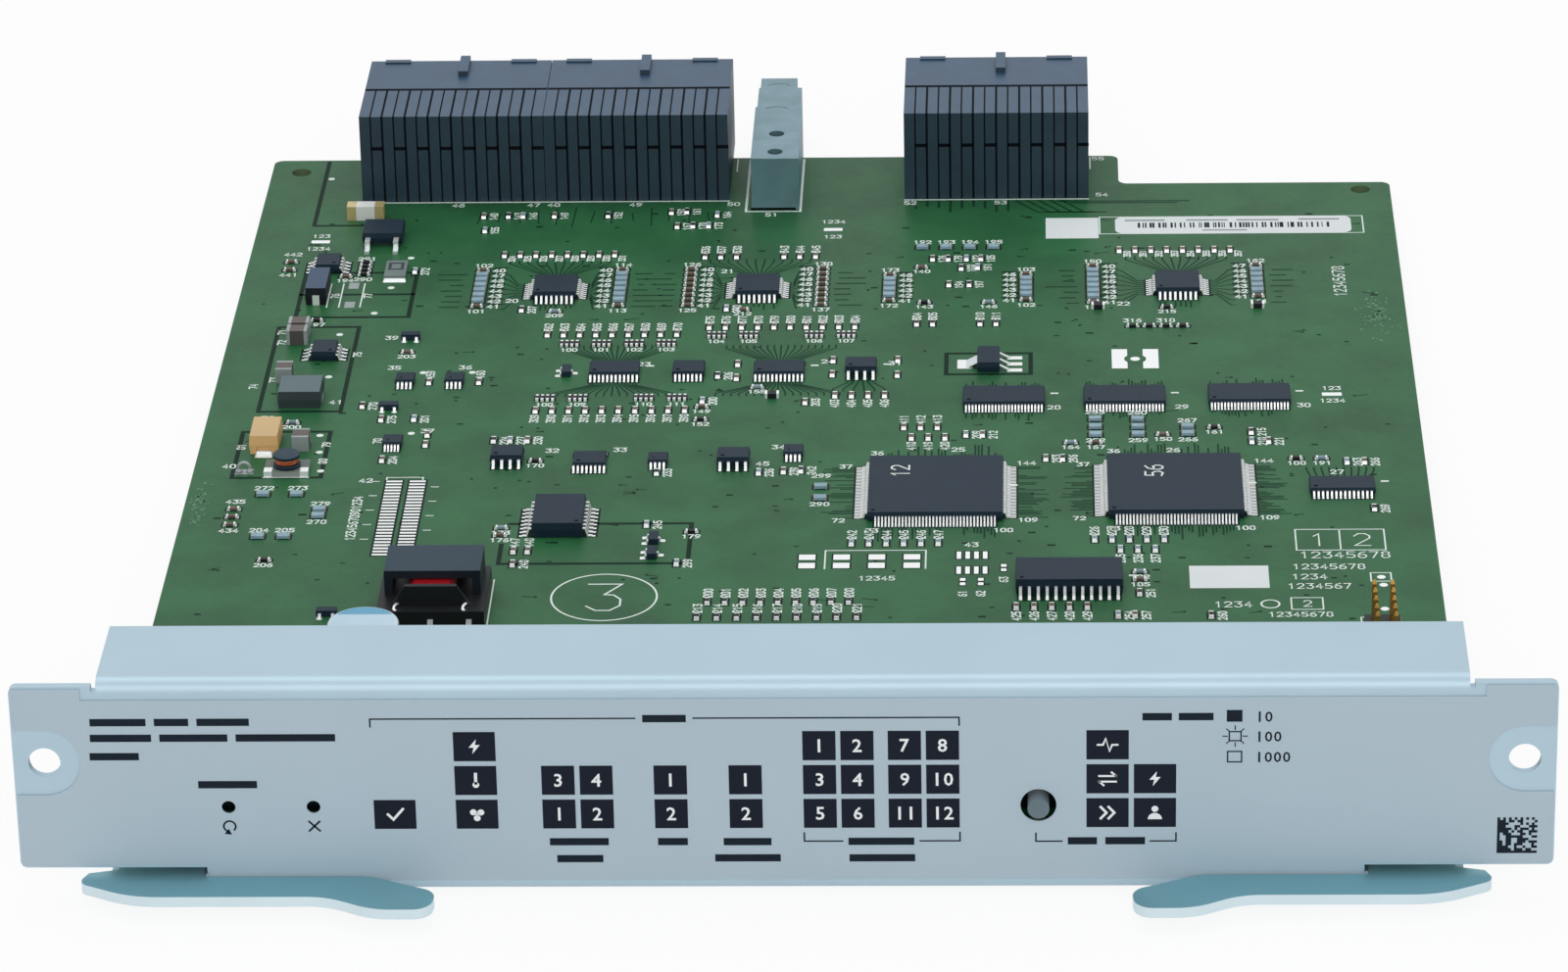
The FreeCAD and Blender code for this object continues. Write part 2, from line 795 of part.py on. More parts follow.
def bulk_capacitor():
    """Aluminium can on a square base with two cut corners."""
    side = 2 * (can_radius + can_base_margin)
    base = block(side, side, can_base_height)
    corners = [point(x, side / 2, can_base_height / 2) for x in (-side / 2, side / 2)]
    edges = [e for e in base.Edges for c in corners if e.distToShape(Part.Vertex(c))[0] < 1e-4]
    base = base.makeChamfer(can_base_chamfer, edges)
    can = rod_up(can_radius, can_base_height, can_base_height + can_height, 0, 0)
    return on_board(can, *can_place), on_board(base, *can_place)


header_place = (82.75, 53.4)


def pin_header():
    pins = []
    for column in (-0.5, 0.5):
        for row in range(header_rows):
            y = (row - (header_rows - 1) / 2) * pin_pitch
            pin = block(pin_size, pin_size, header_pin_height - header_height, header_height)
            pins.append(on_board(moved(pin, column * pin_pitch, y), *header_place))
    base = block(2 * pin_pitch, header_rows * pin_pitch, header_height)
    return on_board(base, *header_place), pins


def build():
    os.makedirs("parts", exist_ok=True)
    save("face_plate", [face_plate()])
    save("face_overlay", [face_overlay()])
    save("right_ejector_lever", [ejector_lever()])
    save("left_ejector_lever", [mirrored(ejector_lever())])
    save("lever_pivots", [lever_pivot(), mirrored(lever_pivot())])
    save("circuit_board", [circuit_board()])
    save("board_standoffs", standoffs())
    holders, lenses = lamps()
    save("lamp_holders", holders)
    save("lamp_lenses", lenses)
    for name, x in (("reset", reset_x), ("clear", clear_x)):
        save(name + "_switch", [switch_body(x)])
        save(name + "_plunger", [pin_plunger(x)])
    save("mode_switch", [switch_body(mode_x)])
    save("mode_button", [mode_button()])
    for number, start in enumerate(connector_starts, 1):
        save("connector_wafers_%d" % number, connector_wafers(start))
        save("connector_shroud_%d" % number, [connector_shroud(start)])
    save("guide_block", [guide_block()])
    groups = (("logic_chip", placed(quad_144, logic_places)),
              ("interface_chip", placed(quad_32, interface_places)),
              ("bus_chip", placed(thin_48, bus_places)),
              ("small_chip", placed(small_8, small_8_places)),
              ("power_transistor", power_transistor()), ("regulator", regulator()))
    for name, (bodies, leads) in groups:
        save(name + "_body" if len(bodies) == 1 else name + "s", bodies)
        save(name + "_leads", leads)
    wide_a = placed(wide_24, wide_24_places)
    wide_b = placed(wide_16, wide_16_places)
    save("wide_chips", wide_a[0] + wide_b[0])
    save("wide_chip_leads", wide_a[1] + wide_b[1])
    save("thin_chips", thin_chips())
    body, caps = fuse_parts()
    save("fuse_body", body)
    save("fuse_caps", caps)
    save("input_capacitor", [input_capacitor()])
    save("ceramic_capacitors", ceramic_capacitors())
    save("tantalum_capacitor", [tantalum_capacitor()])
    save("moulded_inductor", [moulded_inductor()])
    save("drum_inductor", [drum_inductor()])
    save("drum_winding", [drum_winding()])
    save("transformer_core", [transformer_core()])
    save("transformer_bobbin", [transformer_bobbin()])
    save("transformer_winding", [transformer_winding()])
    save("transformer_pins", transformer_pins())
    can, base = bulk_capacitor()
    save("bulk_capacitor_can", [can])
    save("bulk_capacitor_base", [base])
    base, pins = pin_header()
    save("pin_header_base", [base])
    save("pin_header_pins", pins)
    save("sense_resistor", [sense_resistor()])


build()
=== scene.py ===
import math

import bpy
import numpy as np
from mathutils import Matrix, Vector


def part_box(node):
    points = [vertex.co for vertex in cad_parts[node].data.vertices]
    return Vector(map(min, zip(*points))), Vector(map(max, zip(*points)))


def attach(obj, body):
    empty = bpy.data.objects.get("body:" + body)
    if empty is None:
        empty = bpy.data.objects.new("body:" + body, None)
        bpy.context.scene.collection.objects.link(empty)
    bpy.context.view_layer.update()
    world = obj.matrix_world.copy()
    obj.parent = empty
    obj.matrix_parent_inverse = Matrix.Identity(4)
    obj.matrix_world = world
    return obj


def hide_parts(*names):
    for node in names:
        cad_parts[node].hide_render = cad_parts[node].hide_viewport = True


# Lengths are millimetres until a mesh is made. Places on the board are x and the distance behind the face.
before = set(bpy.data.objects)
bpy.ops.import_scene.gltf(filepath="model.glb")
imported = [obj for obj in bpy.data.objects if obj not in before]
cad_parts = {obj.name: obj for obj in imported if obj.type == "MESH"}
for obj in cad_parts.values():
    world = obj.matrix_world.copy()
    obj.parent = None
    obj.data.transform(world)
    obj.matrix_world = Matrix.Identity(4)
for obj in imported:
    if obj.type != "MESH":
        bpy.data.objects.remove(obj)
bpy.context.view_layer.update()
scene = bpy.context.scene
draw = np.random.default_rng(11)
mm = 0.001
face = round(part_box("face_overlay")[0][1] / mm, 3)
boardBottom, boardTop = (round(corner[2] / mm, 3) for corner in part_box("circuit_board"))
film = 0.012  # print lies this far over its surface
# Heights over the mask, and the last two depths under the board, of what lies flat on it
layer = {"track": 0.010, "via": 0.013, "scuff": 0.016, "land": 0.018, "spot": 0.019, "ring": 0.020,
         "silk": 0.022, "centre": 0.023, "number": 0.024, "paper": 0.03, "paperInk": 0.036, "under": 0.03,
         "underSocket": 0.05}
print("frame loaded")


# Materials

looks = {}


def camel(name):
    first, *others = name.split("_")
    return first + "".join(word.capitalize() for word in others)


# A shader node: sockets maps its inputs to constants or to the outputs that feed them.
def addNode(tree, kind, sockets=(), **settings):
    node = tree.nodes.new("ShaderNode" + kind)
    for key, value in settings.items():
        setattr(node, key, value)
    for key, value in dict(sockets).items():
        if isinstance(value, bpy.types.NodeSocket):
            tree.links.new(value, node.inputs[key])
        else:
            node.inputs[key].default_value = value
    return node


def noise(tree, place, scale, detail=2.0):
    return addNode(tree, "TexNoise", {"Scale": scale, "Detail": detail, "Vector": place}).outputs["Fac"]


def ramp(tree, value, low, high, start=0.3, end=0.7):
    node = addNode(tree, "ValToRGB", {"Fac": value})
    first, last = node.color_ramp.elements
    first.position, last.position = start, end
    first.color, last.color = low, high
    return node.outputs["Color"]


# Tones of one sRGB colour: the value runs from a darker to a lighter one.
def tones(tree, value, rgb, spread):
    c = np.array(rgb) / 255
    linear = np.where(c <= 0.04045, c / 12.92, ((c + 0.055) / 1.055) ** 2.4)
    low, high = (tuple(np.clip(linear * factor, 0, 1)) + (1.0,) for factor in (1 - spread, 1 + spread))
    return ramp(tree, value, low, high)


# 1 on faces that stand up, 0 on faces that lie flat: the size of the normal's z is under a half.
def upright(tree):
    normal = addNode(tree, "NewGeometry").outputs["Normal"]
    height = addNode(tree, "SeparateXYZ", {0: normal}).outputs["Z"]
    size = addNode(tree, "Math", {0: height}, operation="ABSOLUTE").outputs[0]
    return addNode(tree, "Math", {0: size, 1: 0.5}, operation="LESS_THAN").outputs[0]


# Colour = slow noise between a darker and a lighter tone (upright faces may take another colour: on the
# board the sawn laminate, elsewhere mostly a painted shade or painted highlight of how light falls on the
# sides); roughness = the given value plus a fine noise; relief = the same fine noise as height; gloss =
# strength of the clear reflection, which has the cool tint of the studio.
def finish(name, rgb, rough=0.5, metal=0.0, spread=0.06, patch=120.0, grain=2200.0, relief=0.0, side=None,
           gloss=0.18, cool=(0.82, 0.95, 1.0)):
    material = bpy.data.materials.new(camel(name))
    material.use_nodes = True
    tree = material.node_tree
    shader = tree.nodes["Principled BSDF"]
    place = addNode(tree, "TexCoord").outputs["Object"]
    slow = noise(tree, place, patch)
    fine = noise(tree, place, grain, 4.0)
    tone = tones(tree, slow, rgb, spread)
    if side:
        sockets = {0: upright(tree), 6: tone, 7: tones(tree, slow, side, spread)}
        tone = addNode(tree, "Mix", sockets, data_type="RGBA").outputs[2]
    tree.links.new(tone, shader.inputs["Base Color"])
    span = {"Value": fine, "To Min": max(rough - 0.08, 0.03), "To Max": min(rough + 0.08, 1.0)}
    tree.links.new(addNode(tree, "MapRange", span).outputs["Result"], shader.inputs["Roughness"])
    shader.inputs["Metallic"].default_value = metal
    shader.inputs["Specular IOR Level"].default_value = gloss
    shader.inputs["Specular Tint"].default_value = cool + (1.0,)
    if relief:
        bump = addNode(tree, "Bump", {"Distance": relief * mm, "Strength": 0.6, "Height": fine})
        tree.links.new(bump.outputs["Normal"], shader.inputs["Normal"])
    looks[name] = material
    return material


# Solder mask = slow noise between two greens, times a finer noise that darkens it, over a relief of fine
# noise; the sawn edges show the laminate.
def maskFinish():
    material = finish("solderMask", (42, 99, 60), 0.42, spread=0.10, patch=26.0, grain=900.0, relief=0.01,
                      side=(96, 118, 84))
    tree = material.node_tree
    base = tree.nodes["Principled BSDF"].inputs["Base Color"]
    cloud = noise(tree, addNode(tree, "TexCoord").outputs["Object"], 90.0, 5.0)
    veil = ramp(tree, cloud, (0.80, 0.80, 0.80, 1), (1.06, 1.06, 1.06, 1), 0.35, 0.62)
    sockets = {0: 1.0, 6: base.links[0].from_socket, 7: veil}
    veiled = addNode(tree, "Mix", sockets, data_type="RGBA", blend_type="MULTIPLY")
    tree.links.new(veiled.outputs[2], base)
    return material


looks["board_laminate"] = maskFinish()
finish("panel_steel", (180, 203, 216), 0.40, 0.25, 0.02, 60.0, 5000.0, 0.002, gloss=0.5)
finish("printed_film", (176, 193, 203), 0.52, 0.0, 0.015, 40.0, 6000.0, 0.002, gloss=0.5)
# Lever steel: the lighter colour of its upright faces is a painted highlight on the sheared edges.
finish("lever_steel", (136, 186, 197), 0.33, 0.5, 0.04, 80.0, 3000.0, 0.003, (215, 232, 238), 0.5)
finish("rivet_steel", (165, 170, 174), 0.32, 0.85)
finish("screw_steel", (178, 182, 186), 0.30, 0.85)
finish("holder_plastic", (34, 36, 40), 0.50, relief=0.004)
finish("lens_plastic", (205, 212, 208), 0.25, gloss=0.5)
finish("switch_plastic", (22, 24, 28), 0.45, relief=0.004)
finish("button_plastic", (106, 121, 129), 0.48, relief=0.004, gloss=0.3)
# Connector plastic: the darker colour of its upright faces is painted shade on the wafer fronts.
finish("connector_plastic", (30, 62, 90), 0.45, 0.0, 0.16, 260.0, 2600.0, 0.006, (26, 42, 56), 0.9,
       (0.68, 0.86, 1.0))
# Die cast: the darker colour of its upright faces is painted shade on the guide block's sides.
finish("die_cast", (126, 153, 163), 0.42, 0.35, 0.10, 260.0, 1500.0, 0.012, (106, 140, 146), 0.4)
finish("chip_epoxy", (29, 44, 58), 0.52, 0.0, 0.10, 300.0, 3600.0, 0.008)
finish("tinned_lead", (222, 225, 226), 0.30, 0.5, gloss=0.5)
finish("white_ceramic", (232, 234, 230), 0.40, gloss=0.4)
finish("gold_plate", (198, 150, 70), 0.28, 0.8, gloss=0.4)
# These moulds take another colour on upright faces: painted shade on the sides of the slate, brown, grey and
# ferrite ones, painted light on the sides of the tan ones.
finish("slate_mould", (66, 84, 110), 0.45, relief=0.006, side=(26, 30, 36))
finish("brown_ceramic", (98, 92, 88), 0.40, side=(84, 80, 78))
finish("tan_mould", (214, 184, 136), 0.45, relief=0.005, side=(236, 190, 130))
finish("grey_mould", (98, 117, 122), 0.50, relief=0.006, side=(58, 68, 70))
finish("ferrite", (42, 62, 76), 0.48, relief=0.008, side=(30, 36, 44))
finish("copper_wire", (190, 98, 60), 0.28, 0.45, gloss=0.5)
finish("bobbin_plastic", (29, 31, 33), 0.42, relief=0.005)
finish("red_tape", (150, 14, 24), 0.25, gloss=0.6)
finish("can_aluminium", (210, 222, 230), 0.32, 0.5, gloss=0.4)
finish("darkInk", (28, 36, 46), 0.60, spread=0.04, gloss=0.08)
finish("tileInk", (28, 32, 44), 0.55, spread=0.04, gloss=0.08)
finish("markInk", (236, 240, 240), 0.55, spread=0.02)
finish("silkInk", (240, 250, 244), 0.60, spread=0.02)
finish("maskedTrack", (27, 62, 44), 0.50, spread=0.12, gloss=0.05)
finish("maskedVia", (20, 44, 34), 0.50, spread=0.10, gloss=0.05)
finish("maskScuff", (104, 142, 116), 0.60, spread=0.20, patch=700.0)
finish("darkSeam", (12, 16, 20), 0.70, gloss=0.05)
finish("castRidge", (88, 112, 120), 0.50, 0.2)
finish("brightTin", (252, 253, 252), 0.35, 0.45, 0.02, gloss=0.5)
finish("paleResistor", (128, 152, 160), 0.45, spread=0.12, patch=500.0)
finish("broadResistor", (148, 178, 192), 0.45, spread=0.14, patch=500.0)
finish("coalResistor", (30, 32, 34), 0.45, spread=0.12, patch=500.0)
finish("tanCapacitor", (104, 92, 80), 0.45, spread=0.20, patch=500.0)
finish("capBrass", (206, 188, 132), 0.34, 0.35, 0.10, 400.0, gloss=0.5)
finish("dullSteel", (160, 168, 168), 0.45, 0.2, 0.08, 400.0, gloss=0.4)
finish("shuntBody", (122, 134, 134), 0.50, 0.1, 0.08, 400.0)
finish("shuntInk", (58, 68, 70), 0.60)
# Drum base: the lighter colour of its upright faces is a painted highlight on its front.
finish("drumStone", (112, 122, 116), 0.50, side=(150, 156, 152))
finish("labelPaper", (232, 238, 238), 0.60, spread=0.02)
finish("faintInk", (150, 158, 162), 0.60, spread=0.05)
finish("canTop", (202, 227, 242), 0.45, spread=0.03)
finish("skyPrint", (112, 176, 208), 0.45, spread=0.03)

# The frame's nodes come with materials named by slot; these few take another look than their slot's
otherLooks = {"fuse_caps": "capBrass", "transformer_pins": "dullSteel", "sense_resistor": "shuntBody",
              "reset_plunger": "switch_plastic", "clear_plunger": "switch_plastic"}
for name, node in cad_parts.items():
    node.data.materials[0] = looks[otherLooks.get(name, node.data.materials[0].name)]
print("materials made")


# Meshes as (points, list of face arrays)

def join(meshes):
    points, faces, start = [], [], 0
    for mesh in meshes:
        points.append(mesh[0])
        faces.extend(f + start for f in mesh[1])
        start += len(mesh[0])
    return np.concatenate(points), faces


# Copies of a mesh: every place is a row of x, y, z and a turn about z in degrees.
def placed(mesh, places):
    places = np.atleast_2d(np.asarray(places, float))
    points, faces = mesh
    c, s = np.cos(np.radians(places[:, 3:4])), np.sin(np.radians(places[:, 3:4]))
    x = points[:, 0] * c - points[:, 1] * s + places[:, 0:1]
    y = points[:, 0] * s + points[:, 1] * c + places[:, 1:2]
    z = points[:, 2] + places[:, 2:3]
    step = np.arange(len(places))[:, None, None] * len(points)
    return (np.stack([x, y, z], -1).reshape(-1, 3),
            [(f[None] + step).reshape(-1, f.shape[1]) for f in faces])


# Rows of x, back and maybe a turn become places on the flat sheet of the board print.
def flatPlaces(rows):
    return np.array([(row[0], row[1], 0.0, row[2] if len(row) > 2 else 0.0) for row in rows])


def laid(mesh, rows):
    return placed(mesh, flatPlaces(rows))


def stood(mesh, rows, level=0.0):
    return placed(mesh, flatPlaces(rows) + (0, face, boardTop + level, 0))


def block(x0, x1, y0, y1, z0, z1):
    corners = np.array([[x, y, z] for z in (z0, z1) for y in (y0, y1) for x in (x0, x1)], float)
    return corners, [np.array([[0, 2, 3, 1], [4, 5, 7, 6], [0, 1, 5, 4], [2, 6, 7, 3], [0, 4, 6, 2],
                               [1, 3, 7, 5]])]


def slab(halfX, halfY, z0, z1):
    return block(-halfX, halfX, -halfY, halfY, z0, z1)


# Two blocks, one on each side of x = 0
def twoBlocks(near, far, y0, y1, z0, z1):
    return join([block(-far, -near, y0, y1, z0, z1), block(near, far, y0, y1, z0, z1)])


# Flat rectangles from rows of x start, x end, y start and y end
def rectangles(rows):
    x0, x1, y0, y1 = np.atleast_2d(np.asarray(rows, float)).T
    z = np.zeros_like(x0)
    points = np.stack([np.stack(c, -1) for c in ((x0, y0, z), (x1, y0, z), (x1, y1, z), (x0, y1, z))], 1)
    return points.reshape(-1, 3), [np.arange(4 * len(z)).reshape(-1, 4)]


# The same from arrays or single values of the four edges
def spans(x0, x1, y0, y1):
    return rectangles(np.stack(np.broadcast_arrays(x0, x1, y0, y1), -1))


# The same about their middles
def centred(spots, halfX, halfY):
    x, y = np.reshape(np.asarray(spots, float), (-1, 2)).T
    return spans(x - halfX, x + halfX, y - halfY, y + halfY)


# Band along a row of points with mitred corners; an open one runs half its width past both ends.
def band(line, width, sharpest=0.8):
    line = np.array(line, float)
    step = np.diff(line, axis=0)
    step /= np.maximum(np.linalg.norm(step, axis=1, keepdims=True), 1e-9)
    closed = np.allclose(line[0], line[-1])
    if not closed:
        line[0] -= step[0] * width / 2
        line[-1] += step[-1] * width / 2
    first, last = (step[-1:], step[:1]) if closed else (step[:1], step[-1:])
    mean = np.concatenate([first, step]) + np.concatenate([step, last])
    reach = width / np.maximum((mean ** 2).sum(1, keepdims=True), sharpest)
    across = np.stack([-mean[:, 1], mean[:, 0]], 1) * reach
    n = len(line)
    k = np.arange(n - 1)
    flat = np.concatenate([line - across, line + across])
    return np.concatenate([flat, np.zeros((2 * n, 1))], 1), [np.stack([k, k + 1, k + 1 + n, k + n], 1)]


def strokes(lines, width):
    return join([band(line, width) for line in lines])


def outline(x0, x1, y0, y1):
    return [(x0, y0), (x1, y0), (x1, y1), (x0, y1), (x0, y0)]


def polygon(corners):
    points = np.array([(x, y, 0.0) for x, y in corners])
    return points, [np.arange(len(points))[None]]


# Arc: x plus radius times the cosine and y plus radius times the sine of a growing angle
def arc(x, y, radius, start=0.0, end=360.0, count=24):
    a = np.radians(np.linspace(start, end, count + 1))
    return np.stack([x + radius * np.cos(a), y + radius * np.sin(a)], 1)


# Flat discs: the same arc, closed, about every centre
def discs(centres, radius, sides=10):
    ring = arc(0, 0, radius, 0, 360, sides)[:-1]
    flat = (np.reshape(np.asarray(centres, float), (-1, 1, 2)) + ring).reshape(-1, 2)
    return np.concatenate([flat, np.zeros((len(flat), 1))], 1), [np.arange(len(flat)).reshape(-1, sides)]


# Quads between rings of points, and a cap over the first and the last ring
def wall(rings, sides):
    row = np.arange(rings - 1)[:, None] * sides
    k = np.arange(sides)
    k2 = (k + 1) % sides
    quads = np.stack([row + k, row + k2, row + sides + k2, row + sides + k], -1).reshape(-1, 4)
    return [quads, np.stack([k[::-1], k + (rings - 1) * sides])]


# Turned piece: a profile of radius and height, swept round z and closed at both ends
def turned(profile, sides=48):
    profile = np.asarray(profile, float)
    a = np.arange(sides) * 2 * np.pi / sides
    points = np.stack([profile[:, :1] * np.cos(a), profile[:, :1] * np.sin(a),
                       np.repeat(profile[:, 1:], sides, 1)], -1)
    return points.reshape(-1, 3), wall(len(profile), sides)


# Tube along a path: circles of the given radius stand square to it, turned by the axis it follows least.
def tube(path, radius, sides=10):
    path = np.asarray(path, float)
    tangent = np.gradient(path, axis=0)
    tangent /= np.linalg.norm(tangent, axis=1, keepdims=True)
    first = np.cross(tangent, np.eye(3)[np.abs(tangent).mean(0).argmin()])
    first /= np.linalg.norm(first, axis=1, keepdims=True)
    second = np.cross(tangent, first)
    a = np.arange(sides)[:, None] * 2 * np.pi / sides
    rings = path[:, None] + radius * (first[:, None] * np.cos(a) + second[:, None] * np.sin(a))
    return rings.reshape(-1, 3), wall(len(path), sides)


def onBoard(mesh, level):
    return mesh[0] + (0, face, boardTop + level), mesh[1]


def underBoard(mesh, level):
    return mesh[0] * (1, 1, 0) + (0, face, boardBottom - level), [f[:, ::-1] for f in mesh[1]]


# A flat mesh of x and height, stood up to look towards the front
def facing(mesh, y, rise=0.0):
    points = mesh[0]
    return np.stack([points[:, 0], np.full(len(points), y), points[:, 1] + rise], 1), mesh[1]


# The slot is that of the look.
def piece(name, mesh, look, smooth=False, replaces=()):
    points, faces = mesh
    data = bpy.data.meshes.new(name)
    sizes = np.concatenate([np.full(len(f), f.shape[1]) for f in faces])
    corners = np.concatenate([f.ravel() for f in faces]).astype(np.int32)
    data.vertices.add(len(points))
    data.vertices.foreach_set("co", (points * mm).astype(np.float32).ravel())
    data.loops.add(len(corners))
    data.loops.foreach_set("vertex_index", corners)
    data.polygons.add(len(sizes))
    data.polygons.foreach_set("loop_start", np.concatenate([[0], np.cumsum(sizes)[:-1]]).astype(np.int32))
    data.polygons.foreach_set("use_smooth", np.full(len(sizes), smooth))
    data.update(calc_edges=True)
    data.validate()
    data.materials.append(looks[look])
    thing = bpy.data.objects.new(name, data)
    scene.collection.objects.link(thing)
    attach(thing, "module")
    if replaces:
        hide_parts(*replaces)


# Plain numbers for the face, drawn once as flat meshes one unit high and then copied

def glyph(text, weight):
    curve = bpy.data.curves.new("glyph", "FONT")
    curve.body = text
    curve.resolution_u = 2
    curve.offset = weight
    holder = bpy.data.objects.new("glyph", curve)
    scene.collection.objects.link(holder)
    bpy.context.view_layer.update()
    shape = bpy.data.meshes.new_from_object(holder.evaluated_get(bpy.context.evaluated_depsgraph_get()))
    shape.calc_loop_triangles()
    points = np.zeros(3 * len(shape.vertices))
    shape.vertices.foreach_get("co", points)
    faces = np.zeros(3 * len(shape.loop_triangles), np.int32)
    shape.loop_triangles.foreach_get("vertices", faces)
    bpy.data.objects.remove(holder)
    bpy.data.curves.remove(curve)
    bpy.data.meshes.remove(shape)
    points, faces = points.reshape(-1, 3), faces.reshape(-1, 3)
    low, high = points.min(0), points.max(0)
    points = (points - (low + high) / 2) * (1, 1, 0) / (high[1] - low[1])
    corners = points[faces]
    area = np.cross(corners[:, 1] - corners[:, 0], corners[:, 2] - corners[:, 0])[:, 2]
    return points, [faces[np.abs(area) > 1e-6]]


digits = {c: glyph(c, 0.015) for c in "0123456789"}
digitStep = 0.78


def rowOffsets(text, step):
    return (np.arange(len(text)) - (len(text) - 1) / 2) * step


# A number centred on x, y
def number(text, x, y, height):
    return join([(digits[c][0] * height + (x + o * height, y, 0), digits[c][1])
                 for c, o in zip(text, rowOffsets(text, digitStep))])


# Single-stroke digits for the board print, one unit high about their middle
strokeDigits = {
    "0": [(-0.28, -0.3), (-0.28, 0.3), (-0.12, 0.5), (0.12, 0.5), (0.28, 0.3), (0.28, -0.3), (0.12, -0.5),
          (-0.12, -0.5), (-0.28, -0.3)],
    "1": [(-0.15, 0.3), (0.04, 0.5), (0.04, -0.5)],
    "2": [(-0.28, 0.3), (-0.12, 0.5), (0.12, 0.5), (0.28, 0.32), (0.28, 0.12), (-0.28, -0.5), (0.28, -0.5)],
    "3": [(-0.28, 0.5), (0.28, 0.5), (0.0, 0.1), (0.16, 0.08), (0.28, -0.08), (0.28, -0.32), (0.12, -0.5),
          (-0.12, -0.5), (-0.28, -0.34)],
    "4": [(0.12, -0.5), (0.12, 0.5), (-0.28, -0.18), (0.28, -0.18)],
    "5": [(0.26, 0.5), (-0.22, 0.5), (-0.26, 0.06), (0.1, 0.1), (0.28, -0.08), (0.28, -0.32), (0.1, -0.5),
          (-0.28, -0.42)],
    "6": [(0.2, 0.5), (-0.12, 0.34), (-0.28, 0.0), (-0.28, -0.3), (-0.12, -0.5), (0.12, -0.5), (0.28, -0.3),
          (0.28, -0.1), (0.12, 0.06), (-0.26, -0.04)],
    "7": [(-0.28, 0.5), (0.28, 0.5), (-0.08, -0.5)],
    "8": [(0.1, 0.05), (0.26, 0.2), (0.26, 0.36), (0.1, 0.5), (-0.1, 0.5), (-0.26, 0.36), (-0.26, 0.2),
          (-0.1, 0.05), (0.1, 0.05), (0.28, -0.12), (0.28, -0.34), (0.12, -0.5), (-0.12, -0.5),
          (-0.28, -0.34), (-0.28, -0.12), (-0.1, 0.05)],
}
strokeDigits["9"] = [(-x, -y) for x, y in strokeDigits["6"]]
strokeStep = 0.84


# A row of stroke digits centred on x, y, turned about its middle
def digitRow(text, x, y, height, turn=0.0, width=0.24):
    lines = [(np.array(strokeDigits[c]) + (o, 0)) * height
             for c, o in zip(text, rowOffsets(text, strokeStep))]
    return placed(strokes(lines, width), [(x, y, 0, turn)])


# Chips on the board: body x, y and height, lead reach, width and pitch, leads a side, sides, places

allSides, twoSides = (0, 1, 2, 3), (1, 3)
logicSpots = ((19.2, 106.3), (54.55, 106.75))
interfaceSpots = ((-41.9, 182.0), (-9.85, 182.0), (56.5, 182.3))
busSpots = ((29.2, 139.35), (47.55, 139.35), (66.5, 139.8))
longSpots = ((-30.8, 150.4), (-5.4, 150.3))
wideSpot, sideSpot, midSpot = (38.7, 75.4), (79.2, 107.1), (7.2, 150.6)
chips = {
    "logic_chip_leads": [(20.0, 20.0, 1.5, 1.0, 0.24, 0.5, 36, allSides, logicSpots)],
    "interface_chip_leads": [(7.0, 7.0, 1.5, 1.0, 0.36, 0.8, 8, allSides, interfaceSpots)],
    "bus_chip_leads": [(12.5, 6.1, 1.15, 1.0, 0.24, 0.5, 24, twoSides, busSpots)],
    "small_chip_leads": [(4.9, 3.9, 1.6, 1.05, 0.42, 1.27, 4, twoSides, (
        (-78.9, 192.1, 90), (-76.3, 157.7, 90), midSpot, (-45.2, 118.6), (-11.2, 117.5)))],
    "wide_chip_leads": [(15.4, 7.5, 2.4, 1.4, 0.42, 1.27, 12, twoSides, (wideSpot,)),
                        (10.3, 7.5, 2.4, 1.4, 0.42, 1.27, 8, twoSides, ((-36.0, 96.3, 90),))],
    "thin_chip_leads": [(9.7, 4.4, 1.1, 1.0, 0.30, 0.65, 14, twoSides, (sideSpot,)),
                        (7.8, 4.4, 1.1, 1.0, 0.30, 0.65, 12, twoSides, longSpots),
                        (5.0, 4.4, 1.1, 1.0, 0.30, 0.65, 8, twoSides, ((-32.7, 117.2),)),
                        (5.0, 4.4, 1.1, 1.0, 0.30, 0.65, 7, twoSides, ((-19.35, 150.5),)),
                        (3.0, 3.0, 1.0, 0.95, 0.32, 0.65, 4, twoSides,
                         ((-62.9, 147.4), (-55.3, 147.4), (-22.5, 117.6), (-2.3, 120.2))),
                        (3.0, 3.0, 1.0, 0.95, 0.26, 0.5, 5, twoSides, ((-62.9, 124.4),))],
}
gull = {"thick": 0.15, "root": 0.12, "knee": 0.28, "heel": 0.52, "sole": 0.02, "stand": 0.05, "land": 0.45,
        "quadLand": 0.9, "landIn": 0.1, "landHalf": 0.55, "bed": 0.3}
dimple = {"inset": 0.9, "radius": 0.32, "smallRadius": 0.2, "smallBody": 4}
quarters = ((1, 0), (0, 1), (-1, 0), (0, -1))  # cosine and sine of each side's turn


# Gull-wing lead: a flat strip that leaves the body level, falls to the board and runs out as a foot
def gullLead(reach, rise, width):
    half, sole = gull["thick"] / 2, gull["sole"]
    knee, heel = gull["knee"] * reach, gull["heel"] * reach
    top = [(-gull["root"], rise + half), (knee + half, rise + half), (heel + half, 2 * half + sole),
           (reach, 2 * half)]
    low = [(-gull["root"], rise - half), (knee - half, rise - half), (heel - half, sole), (reach, sole)]
    points = np.array([(x, y, z) for y in (-width / 2, width / 2) for x, z in top + low])
    k = np.arange(3)
    quads = [np.stack([k, k + 1, k + 9, k + 8], 1), np.stack([k + 4, k + 12, k + 13, k + 5], 1),
             np.stack([k, k + 4, k + 5, k + 1], 1), np.stack([k + 8, k + 9, k + 13, k + 12], 1),
             np.array([[3, 7, 15, 11], [0, 8, 12, 4]])]
    return points, [np.concatenate(quads)]


